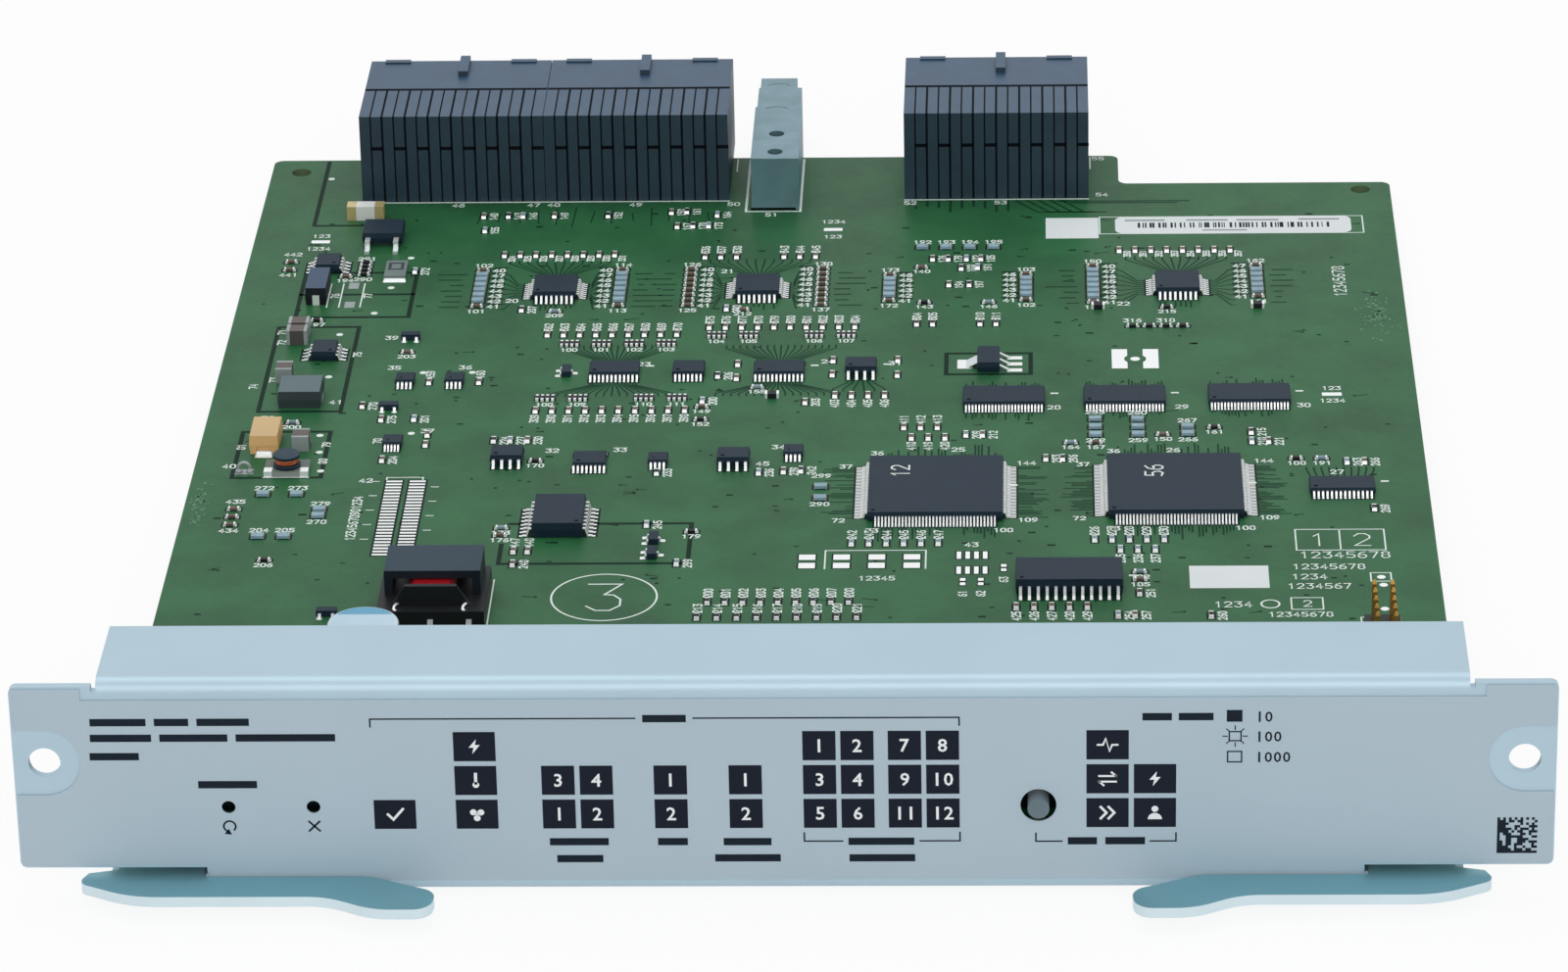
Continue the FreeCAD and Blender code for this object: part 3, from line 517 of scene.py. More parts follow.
def leadSpots(x, y, pitch, count, sides):
    row = (np.arange(count) - (count - 1) / 2) * pitch
    spots = []
    for side in sides:
        edge = (y if side % 2 else x) / 2
        c, s = quarters[side]
        spots.append(np.stack([edge * c - row * s, edge * s + row * c, 0 * row, 0 * row + 90.0 * side], 1))
    return np.concatenate(spots)


# Beds are the dark mask openings under the rows of leads; their dark colour also paints the shade there.
def leadBedsAndShade(x, y, row, far, sides):
    near = gull["landIn"]
    edges = [(y if side % 2 else x) / 2 for side in sides]
    return join([laid(rectangles([(edge - near, edge + far, -row / 2, row / 2)]), [(0, 0, 90.0 * side)])
                 for edge, side in zip(edges, sides)])


lands, openingsAndShade, dimples = [], [], []
for name, kinds in chips.items():
    leads = []
    land = gull["quadLand" if name == "logic_chip_leads" else "land"]
    for x, y, height, reach, width, pitch, count, sides, places in kinds:
        spots = leadSpots(x, y, pitch, count, sides)
        leads.append(stood(placed(gullLead(reach, gull["stand"] + height / 2, width), spots), places))
        half = width * gull["landHalf"]
        foot = rectangles([(gull["heel"] * reach - gull["landIn"], reach + land, -half, half)])
        lands.append(laid(placed(foot, spots), places))
        row = (count - 1) * pitch + width + 2 * gull["bed"]
        openingsAndShade.append(laid(leadBedsAndShade(x, y, row, reach + land + gull["bed"], sides), places))
        radius = dimple["radius" if x > dimple["smallBody"] else "smallRadius"]
        corner = discs([(-x / 2 + dimple["inset"], -y / 2 + dimple["inset"])], radius, 14)
        dimples.append(stood(corner, places, height + film))
    piece(camel(name), join(leads), "brightTin",
          replaces=(name,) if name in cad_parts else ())
piece("pinOneMarks", join(dimples), "darkSeam")
print("chip leads made")


# Chip resistors and capacitors: x, back, count, step x, step back, turn and kind of every row

rows = [
    (-54.0, 176.2, 8, 0, 2.05, 0, "broad"), (-31.7, 176.2, 8, 0, 2.05, 0, "broad"),
    (-20.7, 176.2, 8, 0, 2.05, 0, "tan"), (0.3, 176.2, 8, 0, 2.05, 0, "tan"),
    (43.2, 176.6, 8, 0, 2.05, 0, "broad"), (69.1, 178.6, 7, 0, 2.05, 0, "broad"),
    (11.0, 177.6, 6, 0, 2.05, 0, "broad"), (32.6, 177.6, 6, 0, 2.05, 0, "broad"),
    (16.0, 198.9, 4, 3.8, 0, 0, "broad"), (-13.1, 69.6, 9, 2.53, 0, 90, "coal"),
    (-14.4, 64.6, 9, 2.85, 0, 90, "coal"), (42.5, 89.9, 5, 2.53, 0, 90, "pale"),
    (46.2, 86.4, 3, 2.53, 0, 90, "pale"), (7.1, 88.9, 6, 2.53, 0, 90, "pale"),
    (43.0, 126.4, 3, 0, 2.8, 0, "broad"), (49.4, 126.4, 3, 0, 2.7, 0, "broad"),
    (56.9, 126.6, 2, 0, 2.5, 0, "broad"), (-80.7, 106.5, 2, 5.0, 0, 0, "broad"),
    (-71.8, 98.9, 2, 0, 2.2, 0, "broad"), (-80.0, 91.9, 2, 3.8, 0, 0, "broad"),
    (-73.0, 189.2, 4, 0, 1.6, 0, "coal"), (2.1, 104.3, 2, 0, 4.0, 0, "broad"),
    (15.5, 168.5, 2, 2.5, 0, 90, "coal"), (25.4, 168.5, 2, 2.5, 0, 90, "coal"),
    (49.2, 167.1, 4, 2.6, 0, 0, "coal"), (-51.0, 196.7, 8, 2.53, 0, 90, "tan"),
    (-18.75, 195.7, 3, 2.53, 0, 90, "tan"), (-6.1, 195.7, 3, 2.53, 0, 90, "tan"),
    (47.5, 197.3, 8, 2.53, 0, 90, "tan"), (-42.1, 165.0, 9, 2.53, 0, 90, "tan"),
    (-16.9, 167.6, 10, 2.53, 0, 90, "tan"), (-42.1, 136.2, 10, 2.53, 0, 90, "tan"),
    (3.4, 141.3, 4, 2.53, 0, 90, "tan"), (14.1, 129.5, 3, 2.53, 0, 90, "tan"),
    (15.3, 125.7, 3, 2.53, 0, 90, "tan"), (31.1, 67.6, 5, 2.53, 0, 90, "tan"),
    (-84.5, 96.0, 3, 0, 2.7, 0, "tan"), (-85.1, 191.2, 2, 0, 3.2, 0, "tan"),
    (-42.1, 86.7, 2, 2.1, 0, 90, "tan"), (-57.9, 124.0, 2, 0, 3.6, 90, "tan"),
    (-59.2, 147.0, 2, 7.7, 0, 90, "tan"), (-11.9, 148.0, 2, 0, 5.3, 90, "tan"),
    (2.8, 149.2, 2, 0, 5.3, 90, "tan"), (12.8, 148.9, 2, 0, 5.6, 90, "tan"),
]
singles = {
    90: [(-55.5, 212.9), (-51.5, 213), (-49.1, 213), (-44, 213), (-35.25, 213), (-54.9, 207), (-25, 214.2),
         (-22.5, 214.5), (-17.5, 213), (-23.8, 208.3), (-21.25, 208.5), (-18.7, 208.5), (17.7, 194.3),
         (20.2, 194.3), (23.1, 194.3), (25.4, 194.3), (22.3, 190.5), (24.9, 190.8), (20.4, 183.9),
         (23.6, 183.9), (-16.8, 139.5), (-1.1, 138.9), (-14.8, 148.9), (23.5, 126.7), (26, 126.7),
         (66.4, 127.3), (66.4, 123.9), (68.9, 123.9), (-47.7, 125.4), (-45.2, 125.4), (-42.6, 125.4),
         (-22.5, 113.6), (-7.3, 113.5), (-3.6, 113.9), (-1, 114.2), (-23.1, 95.5), (-41.9, 82.3),
         (48.75, 72), (45.6, 64.8), (48, 64.8), (58.8, 64.6), (80.3, 116.4), (82.9, 116.4), (83.6, 100.1),
         (-64.9, 190.4), (-65.4, 133.3), (-68.7, 138.3), (-60.4, 133.4), (-64, 118.6), (-46.8, 174.8),
         (-14.5, 174.8), (35.5, 118), (38, 118), (-18.1, 82.4)],
    0: [(16, 190.8), (16.6, 176.7), (26.7, 176.7), (-16.8, 137.3), (-16.8, 132.6), (-8.6, 144.5),
        (53.1, 126.4), (60.9, 128.9), (39.25, 123.6), (43, 123.6), (-40.9, 117.9), (-44.4, 94.5),
        (-44.4, 92), (-16.4, 93.0), (48.9, 78.9), (48.9, 76.4), (72.8, 117.6), (76.6, 117.6),
        (-75.8, 188.4), (-78.8, 170.9), (-78.8, 132.2), (-63.5, 158.4), (-78.2, 83.9), (-41.5, 174),
        (-11.9, 174.3), (54.7, 174.4)],
}
small = {"long": 1.6, "wide": 0.7, "tall": 0.42, "cap": 0.25, "land": 0.2, "fillet": 0.14, "edge": 0.32}
broad = {"long": 1.85, "wide": 1.25, "tall": 0.5, "cap": 0.17, "land": 0.05, "fillet": 0.04, "edge": 0.32}
# Size, look, slot and look of the ends of every kind
chipKinds = {"pale": (small, "paleResistor", "resistor_body", "brightTin"),
             "coal": (small, "coalResistor", "resistor_body", "brightTin"),
             "tan": (small, "tanCapacitor", "brown_ceramic", "brightTin"),
             "broad": (broad, "broadResistor", "resistor_body", "dullSteel")}
bodyLow, metalLow = 0.04, 0.02  # where bodies and metal ends start over the board
padRim, bodyDrop = 0.04, 0.03  # lands are wider, and bodies lower, than the metal ends
longRow = 5  # a row of broad ones over this has a small chip at both ends
chipSpots = {kind: [] for kind in chipKinds}
for x, back, count, stepX, stepBack, turn, kind in rows:
    line = [(x + k * stepX, back + k * stepBack, turn) for k in range(count)]
    if kind == "broad" and count > longRow:
        chipSpots["tan"] += [line.pop(0), line.pop()]
    chipSpots[kind] += line
for turn, places in singles.items():
    for k, (x, back) in enumerate(places):
        chipSpots[("tan", "coal", "pale")[k % 3]].append((x, back, turn))


# Body, metal ends with solder fillets, lands and mask opening of a chip that lies along x; the dark
# opening also paints the shade round the chip
def chipShapes(size):
    half, wide, tall, cap = size["long"] / 2, size["wide"] / 2, size["tall"], size["cap"]
    far, side, edge = half + size["land"], wide + padRim, size["edge"]
    body = slab(half - cap, wide, bodyLow, tall - bodyDrop)
    end = block(half - cap, half, -wide, wide, metalLow, tall)
    end[0][[1, 3], 0] += size["fillet"]
    pads = rectangles([(-far, -half + cap, -side, side), (half - cap, far, -side, side)])
    return body, laid(end, [(0, 0), (0, 0, 180)]), pads, centred([(0, 0)], far + edge, wide + edge)


chipEnds = {"brightTin": [], "dullSteel": []}
for kind, (size, look, slot, endLook) in chipKinds.items():
    body, ends, pads, openingAndShade = chipShapes(size)
    piece(kind + "ChipBodies", stood(body, chipSpots[kind]), look)
    chipEnds[endLook].append(stood(ends, chipSpots[kind]))
    lands.append(laid(pads, chipSpots[kind]))
    openingsAndShade.append(laid(openingAndShade, chipSpots[kind]))
piece("chipEnds", join(chipEnds["brightTin"]), "brightTin")
piece("broadChipEnds", join(chipEnds["dullSteel"]), "dullSteel")

# Four-resistor packs and three larger chips
pack = {"half": 1.6, "wide": 0.6, "tall": 0.48, "ends": (-1.2, -0.4, 0.4, 1.2), "row": 0.68, "endHalf": 0.22,
        "endDeep": 0.2, "endTall": 0.5}
large = {"half": 0.7, "far": 1.05, "wide": 0.65, "tall": 0.8, "endTall": 0.82}
packSpots = ([(x, 161.0) for x in (-38.4, -33.4, -28.3, -23.3)]
             + [(x, 164.0) for x in (-15.6, -10.6, -0.4, 4.6)]
             + [(x, 140.4) for x in (-40.9, -35.9, -25.8, -20.7)])
largeSpots = [(43.9, 174.4), (68.9, 174.5), (-6.2, 141.0)]
packBody = slab(pack["half"], pack["wide"], bodyLow, pack["tall"])
packEnd = slab(pack["endHalf"], pack["endDeep"], metalLow, pack["endTall"])
packEnds = laid(packEnd, [(x, y) for y in (-pack["row"], pack["row"]) for x in pack["ends"]])
largeBody = slab(large["half"], large["wide"], bodyLow, large["tall"])
largeEnds = twoBlocks(large["half"], large["far"], -large["wide"], large["wide"], metalLow, large["endTall"])
piece("packBodies", join([stood(packBody, packSpots), stood(largeBody, largeSpots)]), "coalResistor")
piece("packEnds", join([stood(packEnds, packSpots), stood(largeEnds, largeSpots)]), "brightTin")

# Small transistors: two leads on one side and one on the other
transistor = {"half": 1.45, "deep": 0.7, "low": 0.1, "tall": 0.95, "row": 0.95, "reach": 0.62, "rise": 0.5,
              "lead": 0.42, "land": (0.2, 1.0, -0.4, 0.4)}
transistorSpots = [(-63.4, 163.9, 0), (-64.6, 137.4, 0), (-67.4, 66.0, 0), (-21.8, 90.1, -90),
                   (-21.8, 85.2, -90), (-38.2, 150.2, -90)]
half, deep = transistor["half"], transistor["deep"]
legs = [(-transistor["row"], -deep, -90), (transistor["row"], -deep, -90), (0, deep, 90)]
transistorLead = gullLead(transistor["reach"], transistor["rise"], transistor["lead"])
transistorBody = slab(half, deep, transistor["low"], transistor["tall"])
piece("transistorBodies", stood(transistorBody, transistorSpots), "chip_epoxy")
piece("transistorLeads", stood(laid(transistorLead, legs), transistorSpots), "brightTin")
lands.append(laid(laid(rectangles([transistor["land"]]), legs), transistorSpots))
print("small parts made")


# Turned and wound parts

can = {"x": -59.7, "back": 43.0, "radius": 5.0, "base": 1.2, "top": 10.2, "round": 0.5, "foot": 0.4,
       "neck": 0.35, "neckLow": 1.2, "neckTall": 0.8, "print": 0.01}
canSpot = [(can["x"], can["back"])]
r, base, rim = can["radius"], can["base"], can["radius"] - can["round"]
a = np.linspace(0, np.pi, 7)
canNeck = np.stack([r - can["neck"] * np.sin(a), base + can["neckLow"] + can["neckTall"] * a / np.pi], 1)
canProfile = np.concatenate([[(r - can["foot"], base), (r, base + can["foot"])], canNeck,
                             arc(rim, can["top"] - can["round"], can["round"], 0, 90, 6)])
piece("capacitorCan", stood(turned(canProfile, 64), canSpot), "can_aluminium", smooth=True,
      replaces=("bulk_capacitor_can",))
printTop = can["top"] + can["print"]
piece("capacitorMark", stood(polygon(arc(0, 0, rim, 30, 150, 30)), canSpot, printTop + can["print"]),
      "skyPrint")
piece("capacitorTop", stood(discs([(0, 0)], rim, 48), canSpot, printTop), "canTop")

skin = 0.02  # metal ends stand this far out of their bodies
drum = {"x": -77.9, "back": 114.9, "base": 0.9, "baseHalf": 3.3, "baseDeep": 2.2, "radius": 2.05,
        "waist": 1.2, "flange": 0.5, "top": 2.9, "edge": 0.1, "topEdge": 0.12, "endNear": 2.1,
        "endBack": -0.7}
coil = {"radius": 1.55, "low": 1.62, "high": 2.18, "wire": 0.26, "turns": 4, "steps": 120}
drumSpot = [(drum["x"], drum["back"])]
r, edge, topEdge, z0, z1 = (drum[key] for key in ("radius", "edge", "topEdge", "base", "top"))
z2, z3 = z0 + drum["flange"], z1 - drum["flange"]
drumProfile = [(r - edge, z0), (r, z0 + edge), (r, z2 - edge), (r - edge, z2), (drum["waist"], z2),
               (drum["waist"], z3), (r - edge, z3), (r, z3 + edge), (r, z1 - topEdge), (r - topEdge, z1)]
half, deep = drum["baseHalf"], drum["baseDeep"]
drumEnds = twoBlocks(drum["endNear"], half + skin, -deep - skin, drum["endBack"], metalLow, z0 + skin)
angle = np.linspace(0, 2 * np.pi * coil["turns"], coil["steps"])
coilPath = np.stack([coil["radius"] * np.cos(angle), coil["radius"] * np.sin(angle),
                     np.linspace(coil["low"], coil["high"], coil["steps"])], 1)
piece("drumCore", stood(turned(drumProfile, 40), drumSpot), "ferrite", replaces=("drum_inductor",))
piece("drumBase", stood(slab(half, deep, 0.0, z0), drumSpot), "drumStone",
      replaces=("drum_inductor",))
piece("drumTerminals", stood(drumEnds, drumSpot), "brightTin")
piece("drumCoil", stood(tube(coilPath, coil["wire"], 8), drumSpot), "copper_wire", smooth=True,
      replaces=("drum_winding",))

# Header pins with pointed ends
pin = {"x": 82.75, "back": 53.4, "pitch": 2.54, "half": 0.32, "low": 2.5, "top": 8.5, "point": 0.5,
       "tip": 0.14}
pinRings = ((pin["low"], pin["half"]), (pin["top"] - pin["point"], pin["half"]), (pin["top"], pin["tip"]))
pinPoints = np.array([(w * x, w * y, z) for z, w in pinRings for x, y in outline(-1, 1, -1, 1)[:-1]])
pinSpots = [(pin["x"] + pin["pitch"] * c, pin["back"] + pin["pitch"] * row) for c in (-0.5, 0.5)
            for row in range(-2, 3)]
piece("headerPins", stood((pinPoints, wall(3, 4)), pinSpots), "gold_plate", replaces=("pin_header_pins",))

testLoop = {"x": -84.3, "back": 114.6, "half": 0.85, "leg": 0.7, "wire": 0.25, "low": 0.05}
half, low = testLoop["half"], testLoop["low"]
bow = np.concatenate([[(half, low)], arc(0, testLoop["leg"], half, 0, 180, 20), [(-half, low)]])
bowPath = np.stack([bow[:, 0], 0 * bow[:, 0], bow[:, 1]], 1)
blob = turned([(0.6, 0.0), (0.5, 0.3), (0.3, 0.55), (0.1, 0.65)], 16)
blobSpots = [(testLoop["x"] + side * half, testLoop["back"]) for side in (-1, 1)]
loopSpot = [(testLoop["x"], testLoop["back"])]
piece("testLoop", stood(tube(bowPath, testLoop["wire"], 10), loopSpot), "dullSteel",
      smooth=True)
piece("solderBlobs", stood(blob, blobSpots), "dullSteel", smooth=True)

# Metal ends and tabs on the moulded power parts, wire ends on the transformer's base
ceramic = {"near": 1.1, "half": 1.6, "deep": 1.25, "tall": 2.4,
           "spots": [(-81.0, 162.8), (-81.0, 166.0), (-81.6, 148.5, 90), (-76.6, 123.4, 90)]}
inductor = {"near": 3.0, "half": 3.3, "deep": 1.2, "tall": 0.9, "spots": [(-78.3, 140.9)]}
# Half width, front, back, height and place of each tab
tabs = ((0.55, -4.3 - skin, -4.2, 1.7, (-79.5, 181.4)), (1.15, -3.66, -3.2, 0.5, (-82.0, 124.5)),
        (1.7 + skin, -3.15 - skin, -2.7, 0.4, (-67.9, 190.0)))
shunt = {"top": 0.8, "print": (-68.9, -66.9, 189.6, 192.0), "line": 0.5}
wire = {"path": [(0.35, 0.6, 2.55), (0.1, 0.1, 2.75), (-0.15, -0.6, 2.7), (-0.2, -1.1, 2.5),
                 (0.1, -1.5, 2.45)], "radius": 0.22, "spots": [(-57.2, 63.6), (-47.4, 63.6)]}
deep = ceramic["deep"] + skin
ceramicEnds = twoBlocks(ceramic["near"], ceramic["half"] + skin, -deep, deep, metalLow,
                        ceramic["tall"] + skin)
inductorEnds = twoBlocks(inductor["near"], inductor["half"] + skin, -inductor["deep"], inductor["deep"],
                         metalLow, inductor["tall"])
piece("powerTerminals", join([stood(ceramicEnds, ceramic["spots"]), stood(inductorEnds, inductor["spots"])]),
      "dullSteel")
piece("frontTabs", join([stood(block(-half, half, front, back, metalLow, tall), [spot])
                         for half, front, back, tall, spot in tabs]), "brightTin")
shuntMark = strokes([outline(*shunt["print"])], shunt["line"])
piece("shuntMark", onBoard(shuntMark, shunt["top"] + film), "shuntInk")
piece("transformerWires", stood(tube(wire["path"], wire["radius"], 8), wire["spots"]), "brightTin",
      smooth=True)

# Screws on the standoffs, flat screws under the guide block
headProfile = [(2.75, 0.0), (2.75, 0.9), (2.4, 1.5), (1.6, 1.85), (1.0, 1.9), (0.9, 0.9), (0.4, 0.8)]
screwSpots = [(x, 13.5) for x in (-68.0, -22.0, 27.5, 68.0)]
flatScrew = {"spots": [(-8.1, 218.1), (-8.1, 225.9)], "radius": 2.3, "socket": 0.9}
piece("boardScrews", stood(turned(headProfile, 40), screwSpots), "screw_steel")
piece("guideScrews", underBoard(discs(flatScrew["spots"], flatScrew["radius"], 32), layer["under"]),
      "screw_steel")
# Painted shade: dark discs stand for the shade inside the flat screws' sockets.
piece("guideSockets", underBoard(discs(flatScrew["spots"], flatScrew["socket"], 6), layer["underSocket"]),
      "darkSeam")
print("turned parts made")


# Backplane connectors: dark seams and slits on the wafers, contact blades in the cavities, tails below

wafer = {"starts": (-75.9, -45.82, 12.8), "count": 16, "pitch": 1.88, "front": 219.4, "depth": 12.2,
         "height": 15.0, "seam": 0.36, "thinSeam": 0.7, "slit": 9.4, "slitTall": 0.6, "joint": 0.7,
         "jointLift": 0.002, "inset": 0.1}
blade = {"half": 0.12, "front": 3.4, "rear": 2.5, "tall": 0.4, "back": 241.2, "heights": (2.9, 12.1, 8)}
tail = {"backs": (220.6, 230.2, 6), "radius": 0.34}
guide = {"x0": -12.15, "x1": -4.8, "gap": 0.4, "top": 9.0, "ringX": -8.4, "ringBacks": (248.0, 237.7),
         "ringDrop": 2.2, "ringRadius": 2.3, "ridge": 0.22}
starts = np.array(wafer["starts"])[:, None]
pitch, front, tall = wafer["pitch"], wafer["front"], wafer["height"]
back = front + wafer["depth"]
order = np.arange(1, wafer["count"])
edges = (starts + order * pitch).ravel()
halfSeam = wafer["seam"] / 2 * np.where(np.tile(order % 2, len(starts)) == 0, 1.0, wafer["thinSeam"])
slitX = (starts + order[::2] * pitch).ravel()
halfSlit = wafer["slitTall"] / 2
standing = join([spans(edges - halfSeam, edges + halfSeam, 0, tall),
                 spans(slitX, slitX + pitch, wafer["slit"] - halfSlit, wafer["slit"] + halfSlit)])
jointX, jointEnd = starts.ravel() + wafer["inset"], starts.ravel() + wafer["count"] * pitch - wafer["inset"]
topSeams = spans(edges - halfSeam, edges + halfSeam, front, back)
joints = spans(jointX, jointEnd, back - wafer["joint"], back)
piece("waferSeams", join([facing(standing, face + front - film, boardTop), onBoard(topSeams, tall + film),
                          onBoard(joints, tall + film + wafer["jointLift"])]),
      "darkSeam")
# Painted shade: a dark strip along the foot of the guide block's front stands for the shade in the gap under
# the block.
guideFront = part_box("guide_block")[0][1] / mm
guideFoot = rectangles([(guide["x0"], guide["x1"], 0.0, guide["gap"])])
piece("guideFoot", facing(guideFoot, guideFront - film, boardTop), "darkSeam")
# Painted shade: dark arcs on the guide block's top stand for the shade along the edges of two shallow curved
# recesses.
castRings = [arc(guide["ringX"], ringBack - guide["ringDrop"], guide["ringRadius"], 40, 140, 16)
             for ringBack in guide["ringBacks"]]
piece("castRings", onBoard(strokes(castRings, guide["ridge"]), guide["top"] + film), "castRidge")
cavityX = (starts + (np.arange(wafer["count"]) + 0.5) * pitch).ravel()
half, tall = blade["half"], blade["tall"]
bladeSpots = [(x, face + blade["back"], boardTop + z, 0) for x in cavityX
              for z in np.linspace(*blade["heights"])]
bladeShape = block(-half, half, -blade["front"], blade["rear"], -tall, tall)
piece("contactBlades", placed(bladeShape, bladeSpots), "gold_plate")
tailSpots = [(x, tailBack) for x in cavityX for tailBack in np.linspace(*tail["backs"])]
piece("connectorTails", underBoard(discs(tailSpots, tail["radius"], 8), layer["under"]), "tinned_lead")
print("connectors made")


# Tracks, vias and openings under the mask; the dark openings also paint the shade round the parts and pads

fans, bold = [], []
fanBend, fanEnd = 0.22, 0.18  # shares of a fan that run straight at its start and end
trackWide = {"fan": 0.3, "bold": 0.42, "slant": 0.25, "moat": 0.7}


# A fan of tracks: straight out, slanting across, straight in
def fan(x0, back0, spread0, x1, back1, spread1, count, flip=False):
    u = np.linspace(-0.5, 0.5, count)
    first, last = back0 + fanBend * (back1 - back0), back1 - fanEnd * (back1 - back0)
    for start, end in zip(x0 + u * spread0, x1 + u * spread1):
        line = [(start, back0), (start, first), (end, last), (end, back1)]
        fans.append([(y, x) for x, y in line] if flip else line)


# Tracks that leave a row of lands straight and stop at different lengths: far = land ends from the middle
def whiskers(x, back, far, width, count, low, high, sides=allSides, share=0.65):
    row = np.linspace(-width / 2, width / 2, count)
    for side in sides:
        c, s = quarters[side]
        kept = row[draw.random(count) < share]
        ends = far + draw.uniform(low, high, len(kept))
        fans.extend([[(x + reach * c - v * s, back + reach * s + v * c) for reach in (far, end)]
                     for v, end in zip(kept, ends)])


quad = {"far": 5.4, "row": 5.6, "inset": 1.6, "spread": 14.0, "backFar": 12.6, "backSpread": 16.0}
# Label columns stand inside the first eight rows of chips; columnX is the outer side of a quad chip's two
columnShift, columnEdge, columnStep = 2.6, 0.5, rows[0][4]
labelColumns = [(row[0] + shift, row[1], row[2])
                for row, shift in zip(rows[:8], (columnShift, -columnShift) * 4)]
columnX = np.array([column[0] for column in labelColumns[:6]]).reshape(3, 2) + (-columnEdge, columnEdge)
for (x, back), (left, right) in zip(interfaceSpots, columnX):
    far, row = quad["far"], quad["row"]
    fan(back, x - far, row, back, left + quad["inset"], quad["spread"], 8, True)
    fan(back, x + far, row, back, right - quad["inset"], quad["spread"], 8, True)
    fan(x, back + far, row, x, back + quad["backFar"], quad["backSpread"], 12)
    whiskers(x, back, far, row, 8, 0.8, 2.5, (3,))
    for edge, sign, near, outer in ((left, -1, 4.4, 6.0), (right, 1, 4.2, 5.5)):
        bold += [[(edge + sign * (near + start), back + v), (edge + sign * (outer + end), back + v)]
                 for v, start, end in zip(np.linspace(-6.0, 7.0, 7), draw.uniform(0, 1, 7),
                                          draw.uniform(0, 3.5, 7))]
longFans = ((3.6, 10.2, 17.0), (-3.6, -8.8, 19.0))  # start and end behind the chip's middle, and spread
for x, back in longSpots:
    for start, end, spread in longFans:
        fan(x, back + start, 7.0, x, back + end, spread, 17)
for x, back in busSpots:
    whiskers(x, back, 4.5, 11.5, 24, 0.5, 3.0, twoSides)
fan(7.2, 147.3, 3.8, 7.0, 143.0, 8.0, 6)
for x, back in logicSpots:
    whiskers(x, back, 11.9, 17.5, 36, 0.8, 5.0)
fan(79.2, 110.3, 9.0, 79.2, 114.5, 10.0, 10)
moats = [[(-82.9, 236.7), (-82.9, 209.5), (-75.0, 209.5)], outline(-82.3, -64.5, 172.3, 190.0),
         [(-82.3, 181.3), (-64.5, 181.3)], outline(-84.5, -71.9, 136.4, 168.5),
         outline(-86.0, -72.7, 112.5, 129.0), outline(20.3, 33.3, 149.1, 157.0),
         [(-44.0, 89.0), (-44.0, 82.5), (-16.5, 82.5), (-16.5, 96.0), (-43.2, 96.0)]]
stubX = 14.7 + pitch * np.arange(9)
stubs = [[(x, 218.6), (x, 218.6 - deep)] for x, deep in zip(stubX, draw.uniform(1.5, 5, 9))]
stubs += [[(x, 218.4), (x + 3.5, 213.5), (x + 7.0, 213.5)] for x in np.arange(31.0, 39.0, pitch)]
stubs += [[(38.0, 218.0), (59.0, 218.0)], [(40.0, 217.3), (57.0, 217.3)]]
slants = [[(x, 217.0 - drop), (x + lean, 208.0 + drop)] for x, drop, lean in
          zip(np.linspace(-56, -16, 14), draw.uniform(0, 3.0, 14), draw.uniform(-0.4, 0.4, 14))]
vias = {"count": 430, "round": 250, "dashes": 120, "radius": 0.28, "long": 1.7, "wide": 0.8}
scatter = np.stack([draw.uniform(-88, 88, vias["count"]), draw.uniform(22, 214, vias["count"])], 1)
lean = np.stack([draw.uniform(-2.2, 2.2, vias["dashes"]), draw.uniform(-0.6, 0.6, vias["dashes"])], 1)
slants += list(np.stack([scatter[:vias["dashes"]], scatter[:vias["dashes"]] + lean], 1))
tracks = join([strokes(fans, trackWide["fan"]), strokes(stubs + bold, trackWide["bold"]),
               strokes(slants, trackWide["slant"])])
piece("maskedTracks", onBoard(tracks, layer["track"]), "maskedTrack")

viaSize = draw.uniform(0.2, 0.36, vias["count"])[vias["round"]:]
viaMarks = [discs(scatter[:vias["round"]], vias["radius"], 8),
            centred(scatter[vias["round"]:], vias["long"] * viaSize, vias["wide"] * viaSize)]
stateSpots = [(x, back) for x in (0.8, 5.8, 10.9, 16.0) for back in (84.3, 81.5)]
bareSpots = [(x, back) for x in np.linspace(22.8, 26.6, 4) for back in (84.8, 79.8)]
pairSpots = [(23.4, 76.0), (26.0, 76.0), (29.3, 80.6)]
openingsAndShade += [rectangles([(x - 1.3, x + 1.3, back + columnStep * k + 0.75, back + columnStep * k + 1.3)
                         for k in range(count)]) for x, back, count in labelColumns]
openingsAndShade += [centred(stateSpots, 1.45, 1.15),
             rectangles([(-63.0, -60.0, 85.2, 111.6), (-59.5, -56.5, 85.2, 111.6)]),
             centred(bareSpots + pairSpots, 0.55, 1.45)]
darkMaskAndShade = join(viaMarks + [strokes(moats, trackWide["moat"])] + openingsAndShade)
piece("maskedVias", onBoard(darkMaskAndShade, layer["via"]), "maskedVia")

# Worn places in the mask beside the card edges
flecks = np.concatenate([draw.normal((87.4, 171.0), (1.3, 3.8), (90, 2)),
                         draw.normal((-90.0, 103.5), (0.7, 2.6), (60, 2))])
flecks[:, 0] = np.clip(flecks[:, 0], -91.2, 91.2)
fleckSize = draw.uniform(0.08, 0.3, (len(flecks), 2))
piece("maskScuffs", onBoard(centred(flecks, fleckSize[:, 0], fleckSize[:, 1]), layer["scuff"]), "maskScuff")

